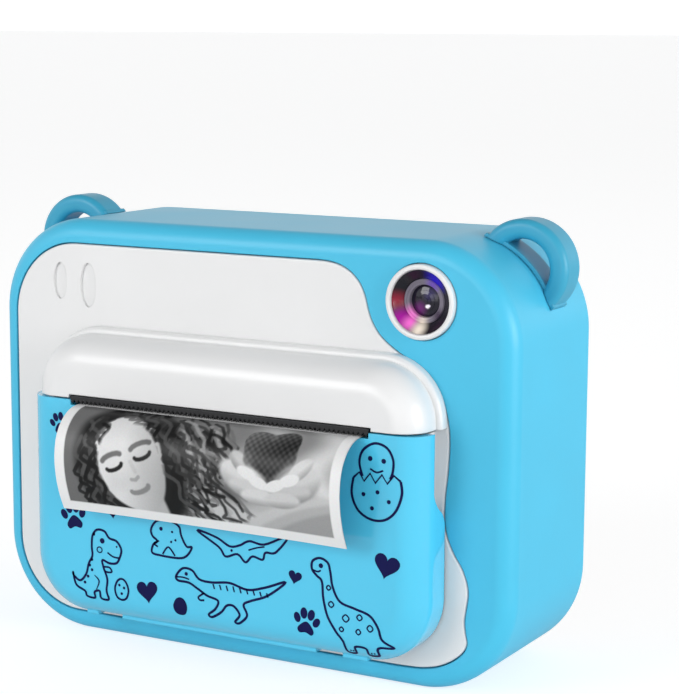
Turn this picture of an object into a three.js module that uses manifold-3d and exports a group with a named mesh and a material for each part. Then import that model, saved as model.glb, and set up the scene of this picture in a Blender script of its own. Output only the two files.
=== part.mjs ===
// Children's instant-print camera: a blue housing with two strap ears, a white wave-edged front
// panel, a bulging thermal printer bay with a hinged paper door, and a rear cover with a screen
// and five buttons.
// Millimetres. +X is right seen from the front, +Z is up, -Y is the front.
// The origin is the middle of the underside.
import * as THREE from "three";
import { mergeVertices } from "three/addons/utils/BufferGeometryUtils.js";
import Module from "manifold-3d";

const wasm = await Module();
wasm.setup();

// ---------- driving dimensions ----------
const FRONT_Y = -16;
const BACK_Y = 16;
const WALL = 2;
// Rounded rectangles in X and Z; r is the corner radius.
const HOUSING = { x0: -52, x1: 52, z0: 0, z1: 76.5, r: 17.3 };
const BUMP = { x0: -39.9, x1: 39.9, z0: 5.9, z1: 57.6, r: 11, front: -25, fillet: 5, wall: 1.6 };
const BAY = { x0: -36, x1: 36, z0: 6.5, z1: 54, r: 5.5 };
const REAR_OPENING_INSET = 4.05;
const REAR_COVER_GAP = 0.25;
const PANEL_GAP = 0.25; // between a wave-edged panel and its pocket
const EAR = { x: 45.8, z: 71, r: 8.4, hole: 5, footReach: 8.8, footHeight: 0.95, gap: 0.12 };
const TEAR_Z = 45.6; // line where the paper door meets the hood
const SLOT_HALF = 30;
const HINGE = { y: -18.1, z: 7.7, r: 1.8, pin: 0.8, bore: 0.9, half: 28.9 };
const KNUCKLES = [[-26, -21.4], [19.2, 23.8]]; // x from, x to
const LENS = { x: 34.9, y: -0.5, z: 66.4, r: 6.35 }; // y shifts all the lens profiles
const PLATEN = { y: -18.9, z: 41.5, r: 3.0, shaft: 1.2, half: 28.8 };
const ROLL = { y: -8, z: 21.2, r: 12, half: 28.5 };
const HEAD_PIVOT = { y: -12.9, z: 51 };
const FRAME = { half: 31, side: 31.7, front: -14, lip: -12.2, back: 6, z0: 7, z1: 57, wall: 1.2 };
const SCREEN = { x: 1.35, z: 34, halfX: 30.15, halfZ: 23.7, r: 6 }; // opening in the bezel
const PAD_PLATE = { x0: 34.2, x1: 42.6, z0: 60.6, z1: 68.4, r: 2 };
const SCREWS = [[-36, 7.6], [36, 7.6], [-36, 69.0], [18, 69.0]]; // x, z
const FLAP = { x0: -28.3, x1: -9.3, y0: 0.5, y1: 9.5, recess: 1.5 };
// lean tips the egg sideways; taper widens (+) or narrows (-) its top.
const BUTTONS = {
  shutter_button: { x: -41, z: 54.6, w: 8.0, h: 9.4, lean: 0, taper: 0.2 },
  power_button: { x: -40.9, z: 38.8, w: 8.2, h: 6.4, lean: 0.35, taper: -0.12 },
  ok_button: { x: -41, z: 31.0, w: 8.0, h: 6.4, lean: 0.35, taper: 0.096 },
  up_button: { x: -40.9, z: 21.7, w: 8.2, h: 6.4, lean: 0.35, taper: -0.12 },
  down_button: { x: -40.9, z: 13.9, w: 8.0, h: 6.4, lean: 0.35, taper: 0.096 },
};

const radians = (degrees) => (degrees * Math.PI) / 180;

// Gear train on the right side of the printer, from platen through idler to motor pinion
const GEAR_MODULE = 0.5;
const MESH_CLEARANCE = 0.1;
const PLATEN_TEETH = 12;
const IDLER_TEETH = 20;
const PINION_TEETH = 10;
const PLATEN_TO_IDLER = 20; // degrees up from +Y
const IDLER_TO_PINION = 40;
const pitchRadius = (teeth) => (teeth * GEAR_MODULE) / 2;
const meshedAxis = (axis, teeth, nextTeeth, degrees) => {
  const distance = pitchRadius(teeth) + pitchRadius(nextTeeth) + MESH_CLEARANCE;
  return {
    y: axis.y + distance * Math.cos(radians(degrees)),
    z: axis.z + distance * Math.sin(radians(degrees)),
  };
};
const IDLER = meshedAxis(PLATEN, PLATEN_TEETH, IDLER_TEETH, PLATEN_TO_IDLER);
const PINION = meshedAxis(IDLER, IDLER_TEETH, PINION_TEETH, IDLER_TO_PINION);

// ---------- outlines: lists of [x, z] ----------
const arc = (cx, cz, radius, from, to, steps) =>
  Array.from({ length: steps + 1 }, (_, i) => {
    const angle = radians(from + ((to - from) * i) / steps);
    return [cx + radius * Math.cos(angle), cz + radius * Math.sin(angle)];
  });
const vectors = (points) => points.map(([x, z]) => new THREE.Vector2(x, z));
const spline = (points, steps) =>
  new THREE.SplineCurve(vectors(points)).getPoints(steps).map((p) => [p.x, p.y]);
const closedSpline = (points, steps) => spline([...points, points[0]], steps).slice(0, -1);
// Moves a closed outline outwards if it runs clockwise seen from the front, inwards if not.
const offset = (points, distance) =>
  points.map(([x, z], i) => {
    const before = points[(i + points.length - 1) % points.length];
    const after = points[(i + 1) % points.length];
    const dx = after[0] - before[0];
    const dz = after[1] - before[1];
    const length = Math.hypot(dx, dz) || 1;
    return [x - (distance * dz) / length, z + (distance * dx) / length];
  });
// Drops points that nearly repeat the one before.
const tidy = (points) =>
  points.filter(([x, z], i) => {
    const before = points[(i + points.length - 1) % points.length];
    return Math.hypot(x - before[0], z - before[1]) > 0.2;
  });

// ---------- shapes ----------
const polygon = (points) => new THREE.Shape(vectors(points));
const roundedRect = (x0, x1, z0, z1, r) => {
  const steps = r > 8 ? 7 : 5;
  return polygon([
    ...arc(x1 - r, z0 + r, r, -90, 0, steps),
    ...arc(x1 - r, z1 - r, r, 0, 90, steps),
    ...arc(x0 + r, z1 - r, r, 90, 180, steps),
    ...arc(x0 + r, z0 + r, r, 180, 270, steps),
  ]);
};
const grown = ({ x0, x1, z0, z1, r }, by = 0) =>
  roundedRect(x0 - by, x1 + by, z0 - by, z1 + by, r + by);
const disc = (x, z, radius) => polygon(arc(x, z, radius, 0, 360, 28).slice(0, -1));
const ellipse = (x, z, halfX, halfZ, steps) =>
  new THREE.Shape(new THREE.EllipseCurve(x, z, halfX, halfZ).getPoints(steps));
const egg = (button, grow = 0) => {
  const steps = 16;
  const points = [];
  for (let i = 0; i < steps; i++) {
    const angle = (2 * Math.PI * i) / steps;
    const across = Math.cos(angle);
    const up = Math.sin(angle);
    const halfW = (button.w / 2 + grow) * (1 + button.taper * up);
    const halfH = button.h / 2 + grow;
    points.push([button.x + across * halfW, button.z + up * halfH + button.lean * across]);
  }
  return polygon(points);
};

// ---------- solids ----------
const solid = (geometry) => {
  const bare = new THREE.BufferGeometry();
  bare.setAttribute("position", geometry.getAttribute("position").clone());
  if (geometry.index) bare.setIndex(geometry.index.clone());
  const merged = mergeVertices(bare, 1e-4);
  return new wasm.Manifold(new wasm.Mesh({
    numProp: 3,
    vertProperties: merged.attributes.position.array,
    triVerts: new Uint32Array(merged.index.array),
  }));
};
const cut = (body, ...tools) => tools.reduce((result, tool) => result.subtract(tool), body);
const join = (body, ...others) => others.reduce((result, other) => result.add(other), body);
const bothSides = (body) => body.add(body.mirror([1, 0, 0]));
const box = (x0, x1, y0, y1, z0, z1) =>
  solid(new THREE.BoxGeometry(x1 - x0, y1 - y0, z1 - z0)
    .translate((x0 + x1) / 2, (y0 + y1) / 2, (z0 + z1) / 2));
// A shape in X and Z, from y0 (front) to y1 (back).
// The bevel rounds both ends without growing the outline.
const slab = (shape, y0, y1, bevel = 0, bevelSegments = 3) =>
  solid(new THREE.ExtrudeGeometry(shape, {
    depth: y1 - y0 - 2 * bevel,
    bevelEnabled: bevel > 0,
    bevelSize: bevel,
    bevelThickness: bevel,
    bevelOffset: -bevel,
    bevelSegments,
  }).rotateX(Math.PI / 2).translate(0, y1 - bevel, 0));
// A profile of [y, z] points, from x0 to x1.
const along = (points, x0, x1) => {
  const axes = new THREE.Matrix4().makeBasis(
    new THREE.Vector3(0, 1, 0), new THREE.Vector3(0, 0, 1), new THREE.Vector3(1, 0, 0));
  return solid(
    new THREE.ExtrudeGeometry(polygon(points), { depth: x1 - x0, bevelEnabled: false })
      .applyMatrix4(axes).translate(x0, 0, 0));
};
const rodX = (radius, x0, x1, { y, z }, segments) =>
  solid(new THREE.CylinderGeometry(radius, radius, x1 - x0, segments)
    .rotateZ(Math.PI / 2).translate((x0 + x1) / 2, y, z));
const rodY = (radius, y0, y1, x, z, segments, frontRadius = radius) =>
  solid(new THREE.CylinderGeometry(radius, frontRadius, y1 - y0, segments)
    .translate(x, (y0 + y1) / 2, z));
const gear = (teeth, bore, x0, x1, axis, phase) => {
  const pitch = pitchRadius(teeth);
  const root = pitch - GEAR_MODULE * 1.2;
  const tip = pitch + GEAR_MODULE * 0.9;
  // One tooth: fraction of the tooth spacing, radius
  const tooth = [
    [-0.30, root], [-0.20, pitch], [-0.10, tip], [0.10, tip], [0.20, pitch], [0.30, root],
  ];
  const points = [];
  for (let i = 0; i < teeth; i++) {
    for (const [fraction, radius] of tooth) {
      const angle = phase + ((i + fraction) * 2 * Math.PI) / teeth;
      points.push([axis.y + radius * Math.cos(angle), axis.z + radius * Math.sin(angle)]);
    }
  }
  return cut(along(points, x0, x1), rodX(bore, x0 - 1, x1 + 1, axis, 16));
};

// ---------- materials ----------
const standard = (settings) => new THREE.MeshStandardMaterial(settings);
const blue = standard({ color: 0x4fc3ec, roughness: 0.38 });
const glossBlue = standard({ color: 0x5fd0f7, roughness: 0.12 });
const softBlue = standard({ color: 0x4ab9e2, roughness: 0.6 });
const white = standard({ color: 0xf1f1f1, roughness: 0.35 });
const black = standard({ color: 0x101012, roughness: 0.3 });
const steel = standard({ color: 0xb8bcc2, roughness: 0.3, metalness: 1 });
const copper = standard({ color: 0xb8763a, roughness: 0.35, metalness: 1 });
const rubber = standard({ color: 0x2a2a2c, roughness: 0.8 });
const gearPlastic = standard({ color: 0xe8e4d8, roughness: 0.5 });
const greyPlastic = standard({ color: 0x8f8b93, roughness: 0.35 });
const board = standard({ color: 0x1f6b3a, roughness: 0.5 });
const darkGlass = standard({ color: 0x08080c, roughness: 0.05 });
const paper = standard({ color: 0xfafafa, roughness: 0.7 });
const cardboard = standard({ color: 0xb99b72, roughness: 0.8 });
const cellWrap = standard({ color: 0x2f63b5, roughness: 0.4 });
const ceramic = standard({ color: 0xd8d8d2, roughness: 0.3 });
const displayGrey = standard({ color: 0x22242a, roughness: 0.2 });
const membraneGrey = standard({ color: 0xd6d6d6, roughness: 0.8 });

// ---------- scene ----------
const camera = new THREE.Group();
const add = (...meshes) => camera.add(new THREE.Group().add(...meshes));
const piece = (name, body, material) => {
  const mesh = body.simplify(0.004).getMesh();
  const positions = new Float32Array(mesh.numVert * 3);
  for (let i = 0; i < mesh.numVert; i++) {
    const start = i * mesh.numProp;
    positions.set(mesh.vertProperties.subarray(start, start + 3), i * 3);
  }
  const geometry = new THREE.BufferGeometry()
    .setAttribute("position", new THREE.BufferAttribute(positions, 3))
    .setIndex(new THREE.BufferAttribute(new Uint32Array(mesh.triVerts), 1));
  const result = new THREE.Mesh(geometry, material);
  result.name = name;
  return result;
};

// ---------- measured outlines: x, z ----------
const FRONT_WAVE = tidy([
  ...arc(-35.2, 58.8, 13.3, 180, 90, 8),
  ...spline([
    [11.5, 72.1], [17.1, 72.0], [20.5, 71.1], [22.9, 69.2], [24.2, 66.9], [24.9, 64.4],
    [25.8, 62.2], [27.4, 60], [30, 58], [33.3, 56.1], [36.4, 53.9], [38.6, 51], [39.9, 47.2],
    [40.3, 43.4], [40.1, 38.5], [39.6, 33.5], [39.6, 29.6], [40.2, 27], [41.4, 24.5],
    [42.9, 22.2], [43.8, 20], [44.1, 17.9], [43.8, 15.6], [43.5, 13.4], [43.7, 11.3],
    [44.0, 9.5], [43.2, 7.8], [41.2, 6.1], [38.6, 4.8], [35.4, 4.1], [31, 3.9],
  ], 36),
  ...arc(-35.4, 17, 13.1, 270, 180, 8),
]);
const REAR_WAVE = tidy([
  ...spline([
    [21.4, 71.9], [23.6, 70.9], [25.5, 68.9], [26.6, 66.3], [27.9, 63.8], [30.8, 60.7],
    [35.4, 58], [39.2, 55.4], [41.5, 52], [42.5, 47.6], [42.5, 42.5], [41.7, 37.6],
    [41.2, 33.6], [41.7, 30.4], [43.6, 27], [45.8, 23.6], [46.9, 20.2], [47.0, 17.6],
  ], 24),
  ...arc(34.6, 17.4, 12.5, -8, -90, 6),
  ...arc(-34.6, 17.4, 12.5, 270, 180, 8),
  ...arc(-34.6, 59.4, 12.5, 180, 90, 8),
]);
const BADGE = closedSpline([
  [37.9, 71.0], [40.2, 69.6], [43.2, 68.9], [44.4, 66.3], [43.9, 64.4], [44.4, 62.2],
  [43.2, 60.1], [41.8, 58.6], [39.4, 57.3], [36.4, 57.9], [33.4, 58.9], [32.2, 61.2],
  [32.6, 63.6], [32.1, 66.6], [33.5, 69.1], [35.6, 69.6],
], 28);
// Runs anticlockwise seen from the front, unlike the others
const MAIN_PAD = closedSpline([
  [37.9, 65.0], [35.8, 64.2], [34.3, 62.3], [34.7, 60.7], [36.6, 60.1], [38.7, 59.3],
  [40.3, 60.2], [40.2, 62.3], [39.4, 64.2],
], 14);

// ---------- housing ----------
const bayOpening = slab(grown(BAY), FRONT_Y - 6, -11);

function mainHousing() {
  // The first slab rounds the front edge, the second the back edge.
  const outer = slab(grown(HOUSING), FRONT_Y, BACK_Y + 8, 3.2, 2)
    .intersect(slab(grown(HOUSING, 0.1), FRONT_Y - 8, BACK_Y, 1.5, 1));
  let body = cut(
    outer,
    slab(grown(HOUSING, -WALL), -13, 13.5),
    slab(grown(HOUSING, -REAR_OPENING_INSET), 12, BACK_Y + 9),
    slab(polygon(offset(FRONT_WAVE, PANEL_GAP)), FRONT_Y - 5, -14.4),
    bayOpening,
    rodY(LENS.r + 0.12, FRONT_Y - 5, -11, LENS.x, LENS.z, 32),
  );
  // screw bosses, each tied to the nearest wall by a rib
  for (const [x, z] of SCREWS) {
    const low = z < 30;
    const ribBottom = low ? WALL - 0.5 : z;
    const ribTop = low ? z : HOUSING.z1 - WALL + 0.5;
    body = join(
      body, rodY(2.4, 3, 13.4, x, z, 12), box(x - 1.2, x + 1.2, 3, 13.4, ribBottom, ribTop));
    body = cut(body, rodY(0.9, 5, 14, x, z, 10));
  }
  // port recess and opening in the underside
  const { x0, x1, y0, y1 } = FLAP;
  return cut(
    body,
    box(x0 - 0.2, x1 + 0.2, y0 - 0.9, y1 + 0.2, -1, 1.65),
    box(x0 + 1.5, x1 - 1.5, y0 + 1.5, y1 - 1, 1, 3),
  );
}
add(piece("main_housing", mainHousing(), blue));

// strap ear: a flat ring clipped to the rounded corner, with a thin foot that follows the corner
function strapEar(side) {
  const x = side * EAR.x;
  const ring = slab(disc(x, EAR.z, EAR.r), -1, 5.6, 1.2, 2);
  const hole = slab(polygon(arc(x, EAR.z, EAR.hole, 0, 360, 28).slice(0, -1)), -6, 9);
  const foot = slab(grown(HOUSING, EAR.footHeight), -0.6, 5.2)
    .intersect(rodY(EAR.footReach, -10, 10, x, EAR.z, 28));
  return cut(cut(ring, hole).add(foot), slab(grown(HOUSING, EAR.gap), -20, 20));
}
add(piece("ear_loop_left", strapEar(-1), blue));
add(piece("ear_loop_right", strapEar(1), blue));

// ---------- front ----------
function frontPanel() {
  const body = cut(slab(polygon(FRONT_WAVE), FRONT_Y, -14.45), bayOpening);
  // side skirts that the paper door closes over
  const skirts = bothSides(box(36.2, 37.7, -19.4, -14.5, 18, 45));
  // two shallow sunk ovals: x, z, width, height
  const ovals = [[-38.6, 65.2, 2.8, 6.6], [-32.4, 64.7, 3.3, 8.0]].map(([x, z, w, h]) =>
    slab(ellipse(x, z, w / 2, h / 2, 40), FRONT_Y - 2, FRONT_Y + 0.35));
  return cut(body.add(skirts), ...ovals);
}
add(piece("front_panel", frontPanel(), white));

// The bulge over the printer; the hood is its top part and the paper door the rest.
const inFrontOf = (body, y) => body.intersect(box(-60, 60, -60, y, -10, 90));
const bump = (inset, front, back, fillet, filletSegments) =>
  inFrontOf(slab(grown(BUMP, -inset), front, back + 12, fillet, filletSegments), back);

function printerHood() {
  const back = FRONT_Y - 0.05;
  const base = inFrontOf(slab(grown(BUMP), -18.2, -5, 0.9, 2), back);
  const dome = bump(1.0, BUMP.front, back, 5.2, 3);
  const inside = bump(2.8, BUMP.front + BUMP.wall, FRONT_Y + 5, 3.8, 2);
  const aboveDoor = box(-60, 60, -60, 0, TEAR_Z + 0.15, 90);
  return cut(
    cut(base.add(dome), inside).intersect(aboveDoor),
    box(-SLOT_HALF - 0.4, SLOT_HALF + 0.4, -30, -21.4, 0, TEAR_Z + 0.75),
  );
}
add(piece("printer_hood", printerHood(), white));

// serrated tear bar along the lip of the hood
function tearBar() {
  const teeth = 44;
  const pitch = (2 * SLOT_HALF) / teeth;
  const top = TEAR_Z + 0.6;
  const root = TEAR_Z - 0.1;
  const points = [[-SLOT_HALF, top], [SLOT_HALF, top], [SLOT_HALF, root]];
  for (let i = 0; i < teeth; i++) {
    const x = SLOT_HALF - i * pitch;
    points.push([x - pitch * 0.5, TEAR_Z - 0.75], [x - pitch, root]);
  }
  const shelf = box(-SLOT_HALF, SLOT_HALF, -24.8, -21.7, TEAR_Z, top);
  return slab(polygon(points), -25.1, -24.4).add(shelf);
}
add(piece("tear_bar", tearBar(), black));

// ---------- paper door and the printed strip ----------
function paperDoor() {
  const { half, y, z, r } = HINGE;
  let body = cut(
    bump(0, BUMP.front, FRONT_Y - 0.25, BUMP.fillet, 3),
    bump(BUMP.wall, BUMP.front + BUMP.wall, FRONT_Y + 5, 3.6, 2),
  ).intersect(box(-60, 60, -60, 0, -5, TEAR_Z - 0.15));
  // clear everything behind the hinge line, then add the barrel
  body = cut(body, box(-60, 60, y, 0, -5, z + 0.2));
  body = join(body, rodX(r, -half, half, HINGE, 20), box(-half, half, -22.5, y, z - 1.8, z + 0.4));
  for (const [from, to] of KNUCKLES) {
    body = cut(body, box(from - 0.3, to + 0.3, -21.4, 0, -5, 10.6));
  }
  body = cut(body, rodX(HINGE.bore, -28.3, 28.3, HINGE, 16));
  // finger notches in both side walls: y, z
  const notch = tidy([
    [-10, 46], [-20.4, 46], [-20.4, 35.4],
    ...spline([[-20.4, 35.4], [-20, 34.2], [-18.9, 32.8], [-17.4, 31.6], [-16.7, 30.6]], 6),
    [-16.1, 29.5], [-10, 29.5],
  ]);
  body = cut(body, bothSides(along(notch, 36.5, 48)));
  // paper slot, then the roller brackets and their bores
  body = cut(body, box(-SLOT_HALF, SLOT_HALF, -30, -15, TEAR_Z - 1.1, 60));
  const bracket = [[-23.9, 35], [-18, 35], [-16.4, 39], [-16.4, 43.8], [-23.9, 43.8]];
  body = body.add(bothSides(along(bracket, 29.4, 30.9)));
  return cut(body, rodX(1.35, -33, 33, PLATEN, 18));
}

// over the roller, out of the slot and curling down in front of the door
function paperPrint() {
  const halfThickness = 0.1;
  // centre line: y, z
  const middle = spline([
    [-20.2, 44.68], [-22.8, 44.68], [-25.3, 44.6], [-27.6, 44.0], [-29.7, 42.4],
    [-31.1, 39.9], [-31.5, 36.5], [-31.0, 33], [-29.9, 29.6], [-28.6, 26.8],
  ], 18);
  const face = (distance) => middle.map(([y, z], i) => {
    const after = middle[Math.min(i + 1, middle.length - 1)];
    const before = middle[Math.max(i - 1, 0)];
    const dy = after[0] - before[0];
    const dz = after[1] - before[1];
    const length = Math.hypot(dy, dz);
    return [y + (distance * dz) / length, z - (distance * dy) / length];
  });
  const outline = [...face(halfThickness), ...face(-halfThickness).reverse()];
  return along(outline, -ROLL.half, ROLL.half);
}
add(piece("paper_door", paperDoor(), glossBlue), piece("paper_print", paperPrint(), paper));

// ---------- platen and gears ----------
const platenBore = PLATEN.shaft + 0.05;
const platenRubber = cut(
  rodX(PLATEN.r, -PLATEN.half, PLATEN.half, PLATEN, 24), rodX(platenBore, -30, 30, PLATEN, 16));
const platenPhase = radians(PLATEN_TO_IDLER) + Math.PI / PLATEN_TEETH;
const idlerPhase = radians(PLATEN_TO_IDLER + 180);
const pinionPhase = radians(224) + Math.PI / PINION_TEETH;
add(
  piece("platen_shaft", rodX(PLATEN.shaft, -31.6, 34.6, PLATEN, 16), steel),
  piece("platen_rubber", platenRubber, rubber),
  piece("platen_gear",
    gear(PLATEN_TEETH, platenBore, 32, 34.4, PLATEN, platenPhase), gearPlastic),
);
add(piece("idler_gear", gear(IDLER_TEETH, 0.9, 32, 34.5, IDLER, idlerPhase), gearPlastic));
add(
  piece("motor_pinion", gear(PINION_TEETH, 0.8, 32, 34.5, PINION, pinionPhase), gearPlastic),
  piece("motor_shaft", rodX(0.75, 30.5, 34.6, PINION, 14), steel),
);

// ---------- printer frame, fixed in the housing ----------
function printerFrame() {
  const { half, side, front, lip, back, z0, z1, wall } = FRAME;
  const profile = [[front, z0], [back, z0], [back, z1], [lip, z1], [lip, 53.4], [front, 53.4]];
  let body = join(
    bothSides(along(profile, side - wall, side)),
    box(-half, half, front, back, z0, z0 + wall),
    box(-half, half, back - wall, back, z0, z1),
    box(-half, half, lip, back, z1 - wall, z1),
    box(-half, half, -8, -7, 37, 43), // cross bar behind the springs
  );
  for (const [from, to] of KNUCKLES) {
    body = join(
      body,
      rodX(1.7, from, to, HINGE, 18),
      box(from, to, HINGE.y, -13.8, 7.1, 8.4),
      box(from, to, front, -12.4, z0, 8.4),
    );
  }
  return cut(
    body,
    rodX(HINGE.bore, -40, 40, HINGE, 12),
    rodX(1.4, 30, 33, PINION, 12),
    box(-29, -9, 1.5, 8, 0, 16), // room for the ports
  );
}
add(
  piece("printer_frame", printerFrame(), white),
  piece("door_hinge_pin", rodX(HINGE.pin, -28.1, 28.1, HINGE, 14), steel),
  piece("feed_motor", rodX(5.2, 17, 30.4, PINION, 24), steel),
  piece("idler_axle", rodX(0.8, 31.75, 35.2, IDLER, 14), steel),
  piece("roll_spindle_left", rodX(4.6, -30.45, -24, ROLL, 18), white),
  piece("roll_spindle_right", rodX(4.6, 24, 30.45, ROLL, 18), white),
  piece("head_pivot_pin", rodX(0.9, -30.4, 30.4, HEAD_PIVOT, 14), steel),
);

function headSpring(x) {
  const steps = 24;
  const turns = 3;
  const radius = 1.5;
  const wire = 0.22;
  const points = [];
  for (let i = 0; i <= steps; i++) {
    const t = i / steps;
    const angle = t * turns * 2 * Math.PI;
    points.push(new THREE.Vector3(
      x + radius * Math.cos(angle), -12.0 + 3.9 * t, 40 + radius * Math.sin(angle)));
  }
  const section = polygon([[wire, 0], [0, wire], [-wire, 0], [0, -wire]]);
  const extrudePath = new THREE.CatmullRomCurve3(points);
  return solid(new THREE.ExtrudeGeometry(section, { steps, bevelEnabled: false, extrudePath }));
}
add(
  piece("head_spring_left", headSpring(-15), steel),
  piece("head_spring_right", headSpring(15), steel),
);

const heatsink = cut(
  box(-28, 28, -14.9, -13.2, 37.5, 52).add(box(-28, 28, -14.9, -11.0, 49.1, 52.9)),
  rodX(1.0, -40, 40, HEAD_PIVOT, 16),
);
add(
  piece("head_heatsink", heatsink, steel),
  piece("print_head", box(-26, 26, -15.72, -14.95, 37.5, 46.4), ceramic),
);

const rollTube = (outer, outerSegments, inner, innerSegments) => cut(
  rodX(outer, -ROLL.half, ROLL.half, ROLL, outerSegments),
  rodX(inner, -40, 40, ROLL, innerSegments),
);
add(
  piece("paper_roll", rollTube(ROLL.r, 28, 6.2, 24), paper),
  piece("roll_core", rollTube(6.1, 24, 4.9, 20), cardboard),
);

// ---------- lens ----------
// Profiles: radius, y before the shift by LENS.y
const lathe = (profile, segments = 22) =>
  solid(new THREE.LatheGeometry(vectors(profile), segments))
    .translate([LENS.x, LENS.y, LENS.z]);
const lensRing = lathe([
  [5.35, -16.15], [5.55, -16.45], [6.05, -16.45], [6.3, -16.15], [6.3, -11.5],
  [5.35, -11.5], [5.35, -16.15],
]);
const lensBezel = lathe([
  [3.3, -14.3], [5.2, -15.9], [5.3, -15.9], [5.3, -11.5], [3.3, -11.5], [3.3, -14.3],
]);
const lensInnerRing = lathe([
  [2.2, -14.35], [2.5, -14.6], [3.0, -14.6], [3.25, -14.3], [3.25, -11.2],
  [2.2, -11.2], [2.2, -14.35],
]);
const lensElement = lathe([
  [0, -14.7], [1.1, -14.5], [1.75, -14.1], [2.15, -13.5], [2.15, -12.6], [0, -12.6],
], 24);
const lensBarrel = lathe([
  [0, -12.5], [2.1, -12.5], [2.1, -11.0], [3.6, -11.0], [3.6, -6.0], [0, -6.0],
], 20);
const sensorHalf = 5.5;
const sensorBoard = box(
  LENS.x - sensorHalf, LENS.x + sensorHalf, -5.9, -4.9,
  LENS.z - sensorHalf, LENS.z + sensorHalf);
add(
  piece("lens_ring", lensRing, white),
  piece("lens_bezel", lensBezel, black),
  piece("lens_inner_ring", lensInnerRing, greyPlastic),
  piece("lens_element", lensElement, darkGlass),
  piece("lens_barrel", lensBarrel, black),
  piece("image_sensor_board", sensorBoard, board),
);

// ---------- electronics ----------
const buttons = Object.values(BUTTONS);
const mainBoard = cut(
  slab(roundedRect(-46, 46, 9.5, 72, 10), 7, 8.2),
  ...SCREWS.map(([x, z]) => rodY(2.8, 5, 10, x, z, 14)),
  // notches round the two upper screws
  box(14, 22, 5, 10, 69, 80),
  box(-40, -32, 5, 10, 69, 80),
);
add(piece("main_board", mainBoard, board));

const BATTERY = { y: -4.5, z: 64.8 };
const battery = rodX(6.5, -43, 7, BATTERY, 28).add(rodX(2.5, 6.9, 8.2, BATTERY, 16));
add(piece("battery_cell", battery, cellWrap));
add(piece("lcd_module", box(-26.6, 29.4, 10.9, 14.1, 12.2, 55.6), displayGrey));
add(piece("speaker", rodY(8, 9, 12.4, 38.4, 19, 24), black));
add(
  piece("usb_port", box(-26.2, -17.4, 3.4, 6.8, 2.9, 9.3), steel),
  piece("card_socket", box(-16.2, -11.6, 4.4, 6.8, 2.9, 14.5), steel),
);

// a sheet with a tapered nub on its front behind each button
const membrane = join(
  slab(roundedRect(-45.6, -36.2, 10.2, 59.8, 2.5), 10.7, 11.6),
  ...buttons.map(({ x, z }) => rodY(2.6, 9.6, 10.9, x, z, 10, 2.0)),
);
add(piece("keypad_membrane", membrane, membraneGrey));

// ribbon running up behind the print head and back over the top: y, z
const RIBBON = [
  [-10.6, 44.2], [-10.4, 44.2], [-10.4, 53.4], [4.2, 53.4], [4.2, 53.6], [-10.6, 53.6],
];
add(piece("head_ribbon", along(RIBBON, -8, 8), copper));

// ---------- rear ----------
const through = (shape) => slab(shape, 10, 20);
const screenRect = (halfX, halfZ, r) =>
  roundedRect(SCREEN.x - halfX, SCREEN.x + halfX, SCREEN.z - halfZ, SCREEN.z + halfZ, r);
const BEZEL = { halfX: 31.1, halfZ: 24.6, r: 6.9 };
// small paw pads: x, z, half width, half height
const PADS = [
  [37.9, 68.3, 1.75, 1.9], [41.6, 66.0, 1.75, 1.85],
  [34.6, 66.9, 1.5, 1.6], [42.0, 62.4, 1.55, 1.65],
];
const padShapes = (grow) => PADS.map(([x, z, a, b]) => ellipse(x, z, a + grow, b + grow, 14));
const padHoles = [...padShapes(0.12), polygon(offset(MAIN_PAD, -0.14))].map(through);
const badgeHole = polygon(offset(BADGE, 0.2));
const buttonHoles = buttons.map((button) => through(egg(button, 0.3)));
const smallHole = (x, z) => rodY(0.45, 10, 20, x, z, 10);
const sharedHoles = [
  ...buttonHoles, smallHole(-37.9, 63.1), smallHole(-42.6, 63.1), smallHole(42.1, 13.2),
];

const rearCover = cut(
  slab(grown(HOUSING, -REAR_OPENING_INSET - REAR_COVER_GAP), 13.7, BACK_Y),
  slab(polygon(offset(REAR_WAVE, PANEL_GAP)), 14.7, 20),
  through(screenRect(28.4, 22.2, 1)),
  ...SCREWS.map(([x, z]) => rodY(1.3, 10, 20, x, z, 12)),
  slab(badgeHole, 14.85, 20),
  ...padHoles,
  slab(roundedRect(34.0, 42.8, 60.4, 68.6, 2), 10, 14.55), // pocket for the pad plate
  smallHole(28, 67.8),
  ...sharedHoles,
);
const rearPanel = cut(
  slab(polygon(REAR_WAVE), 14.75, BACK_Y),
  through(badgeHole),
  through(screenRect(BEZEL.halfX + 0.2, BEZEL.halfZ + 0.2, 7)),
  ...sharedHoles,
);
const badge = cut(slab(polygon(BADGE), 14.9, 16.6, 0.4, 2), ...padHoles);
// all the pads stand on one plate
const pads = join(
  slab(grown(PAD_PLATE), 13.9, 14.5),
  ...[...padShapes(0), polygon(MAIN_PAD)].map((shape) => slab(shape, 14.3, 16.85)),
);
add(
  piece("rear_cover", rearCover, blue),
  piece("rear_panel", rearPanel, white),
  piece("paw_badge", badge, blue),
  piece("paw_pads", pads, white),
);

const screenBezel = cut(
  slab(screenRect(BEZEL.halfX, BEZEL.halfZ, BEZEL.r), 14.8, 16.9, 0.4, 1),
  through(screenRect(SCREEN.halfX, SCREEN.halfZ, SCREEN.r)),
);
const windowShape = screenRect(SCREEN.halfX - 0.15, SCREEN.halfZ - 0.15, 5.9);
add(
  piece("screen_bezel", screenBezel, white),
  piece("screen_window", slab(windowShape, 14.8, 16.6, 0.25, 1), darkGlass),
);

SCREWS.forEach(([x, z], i) => {
  const screw = rodY(0.85, 5.2, 13.8, x, z, 10).add(rodY(1.15, 13.6, 14.6, x, z, 14));
  const slot = box(x - 0.9, x + 0.9, 14.25, 15, z - 0.12, z + 0.12);
  add(piece(`rear_screw_${i + 1}`, cut(screw, slot), steel));
});

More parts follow.
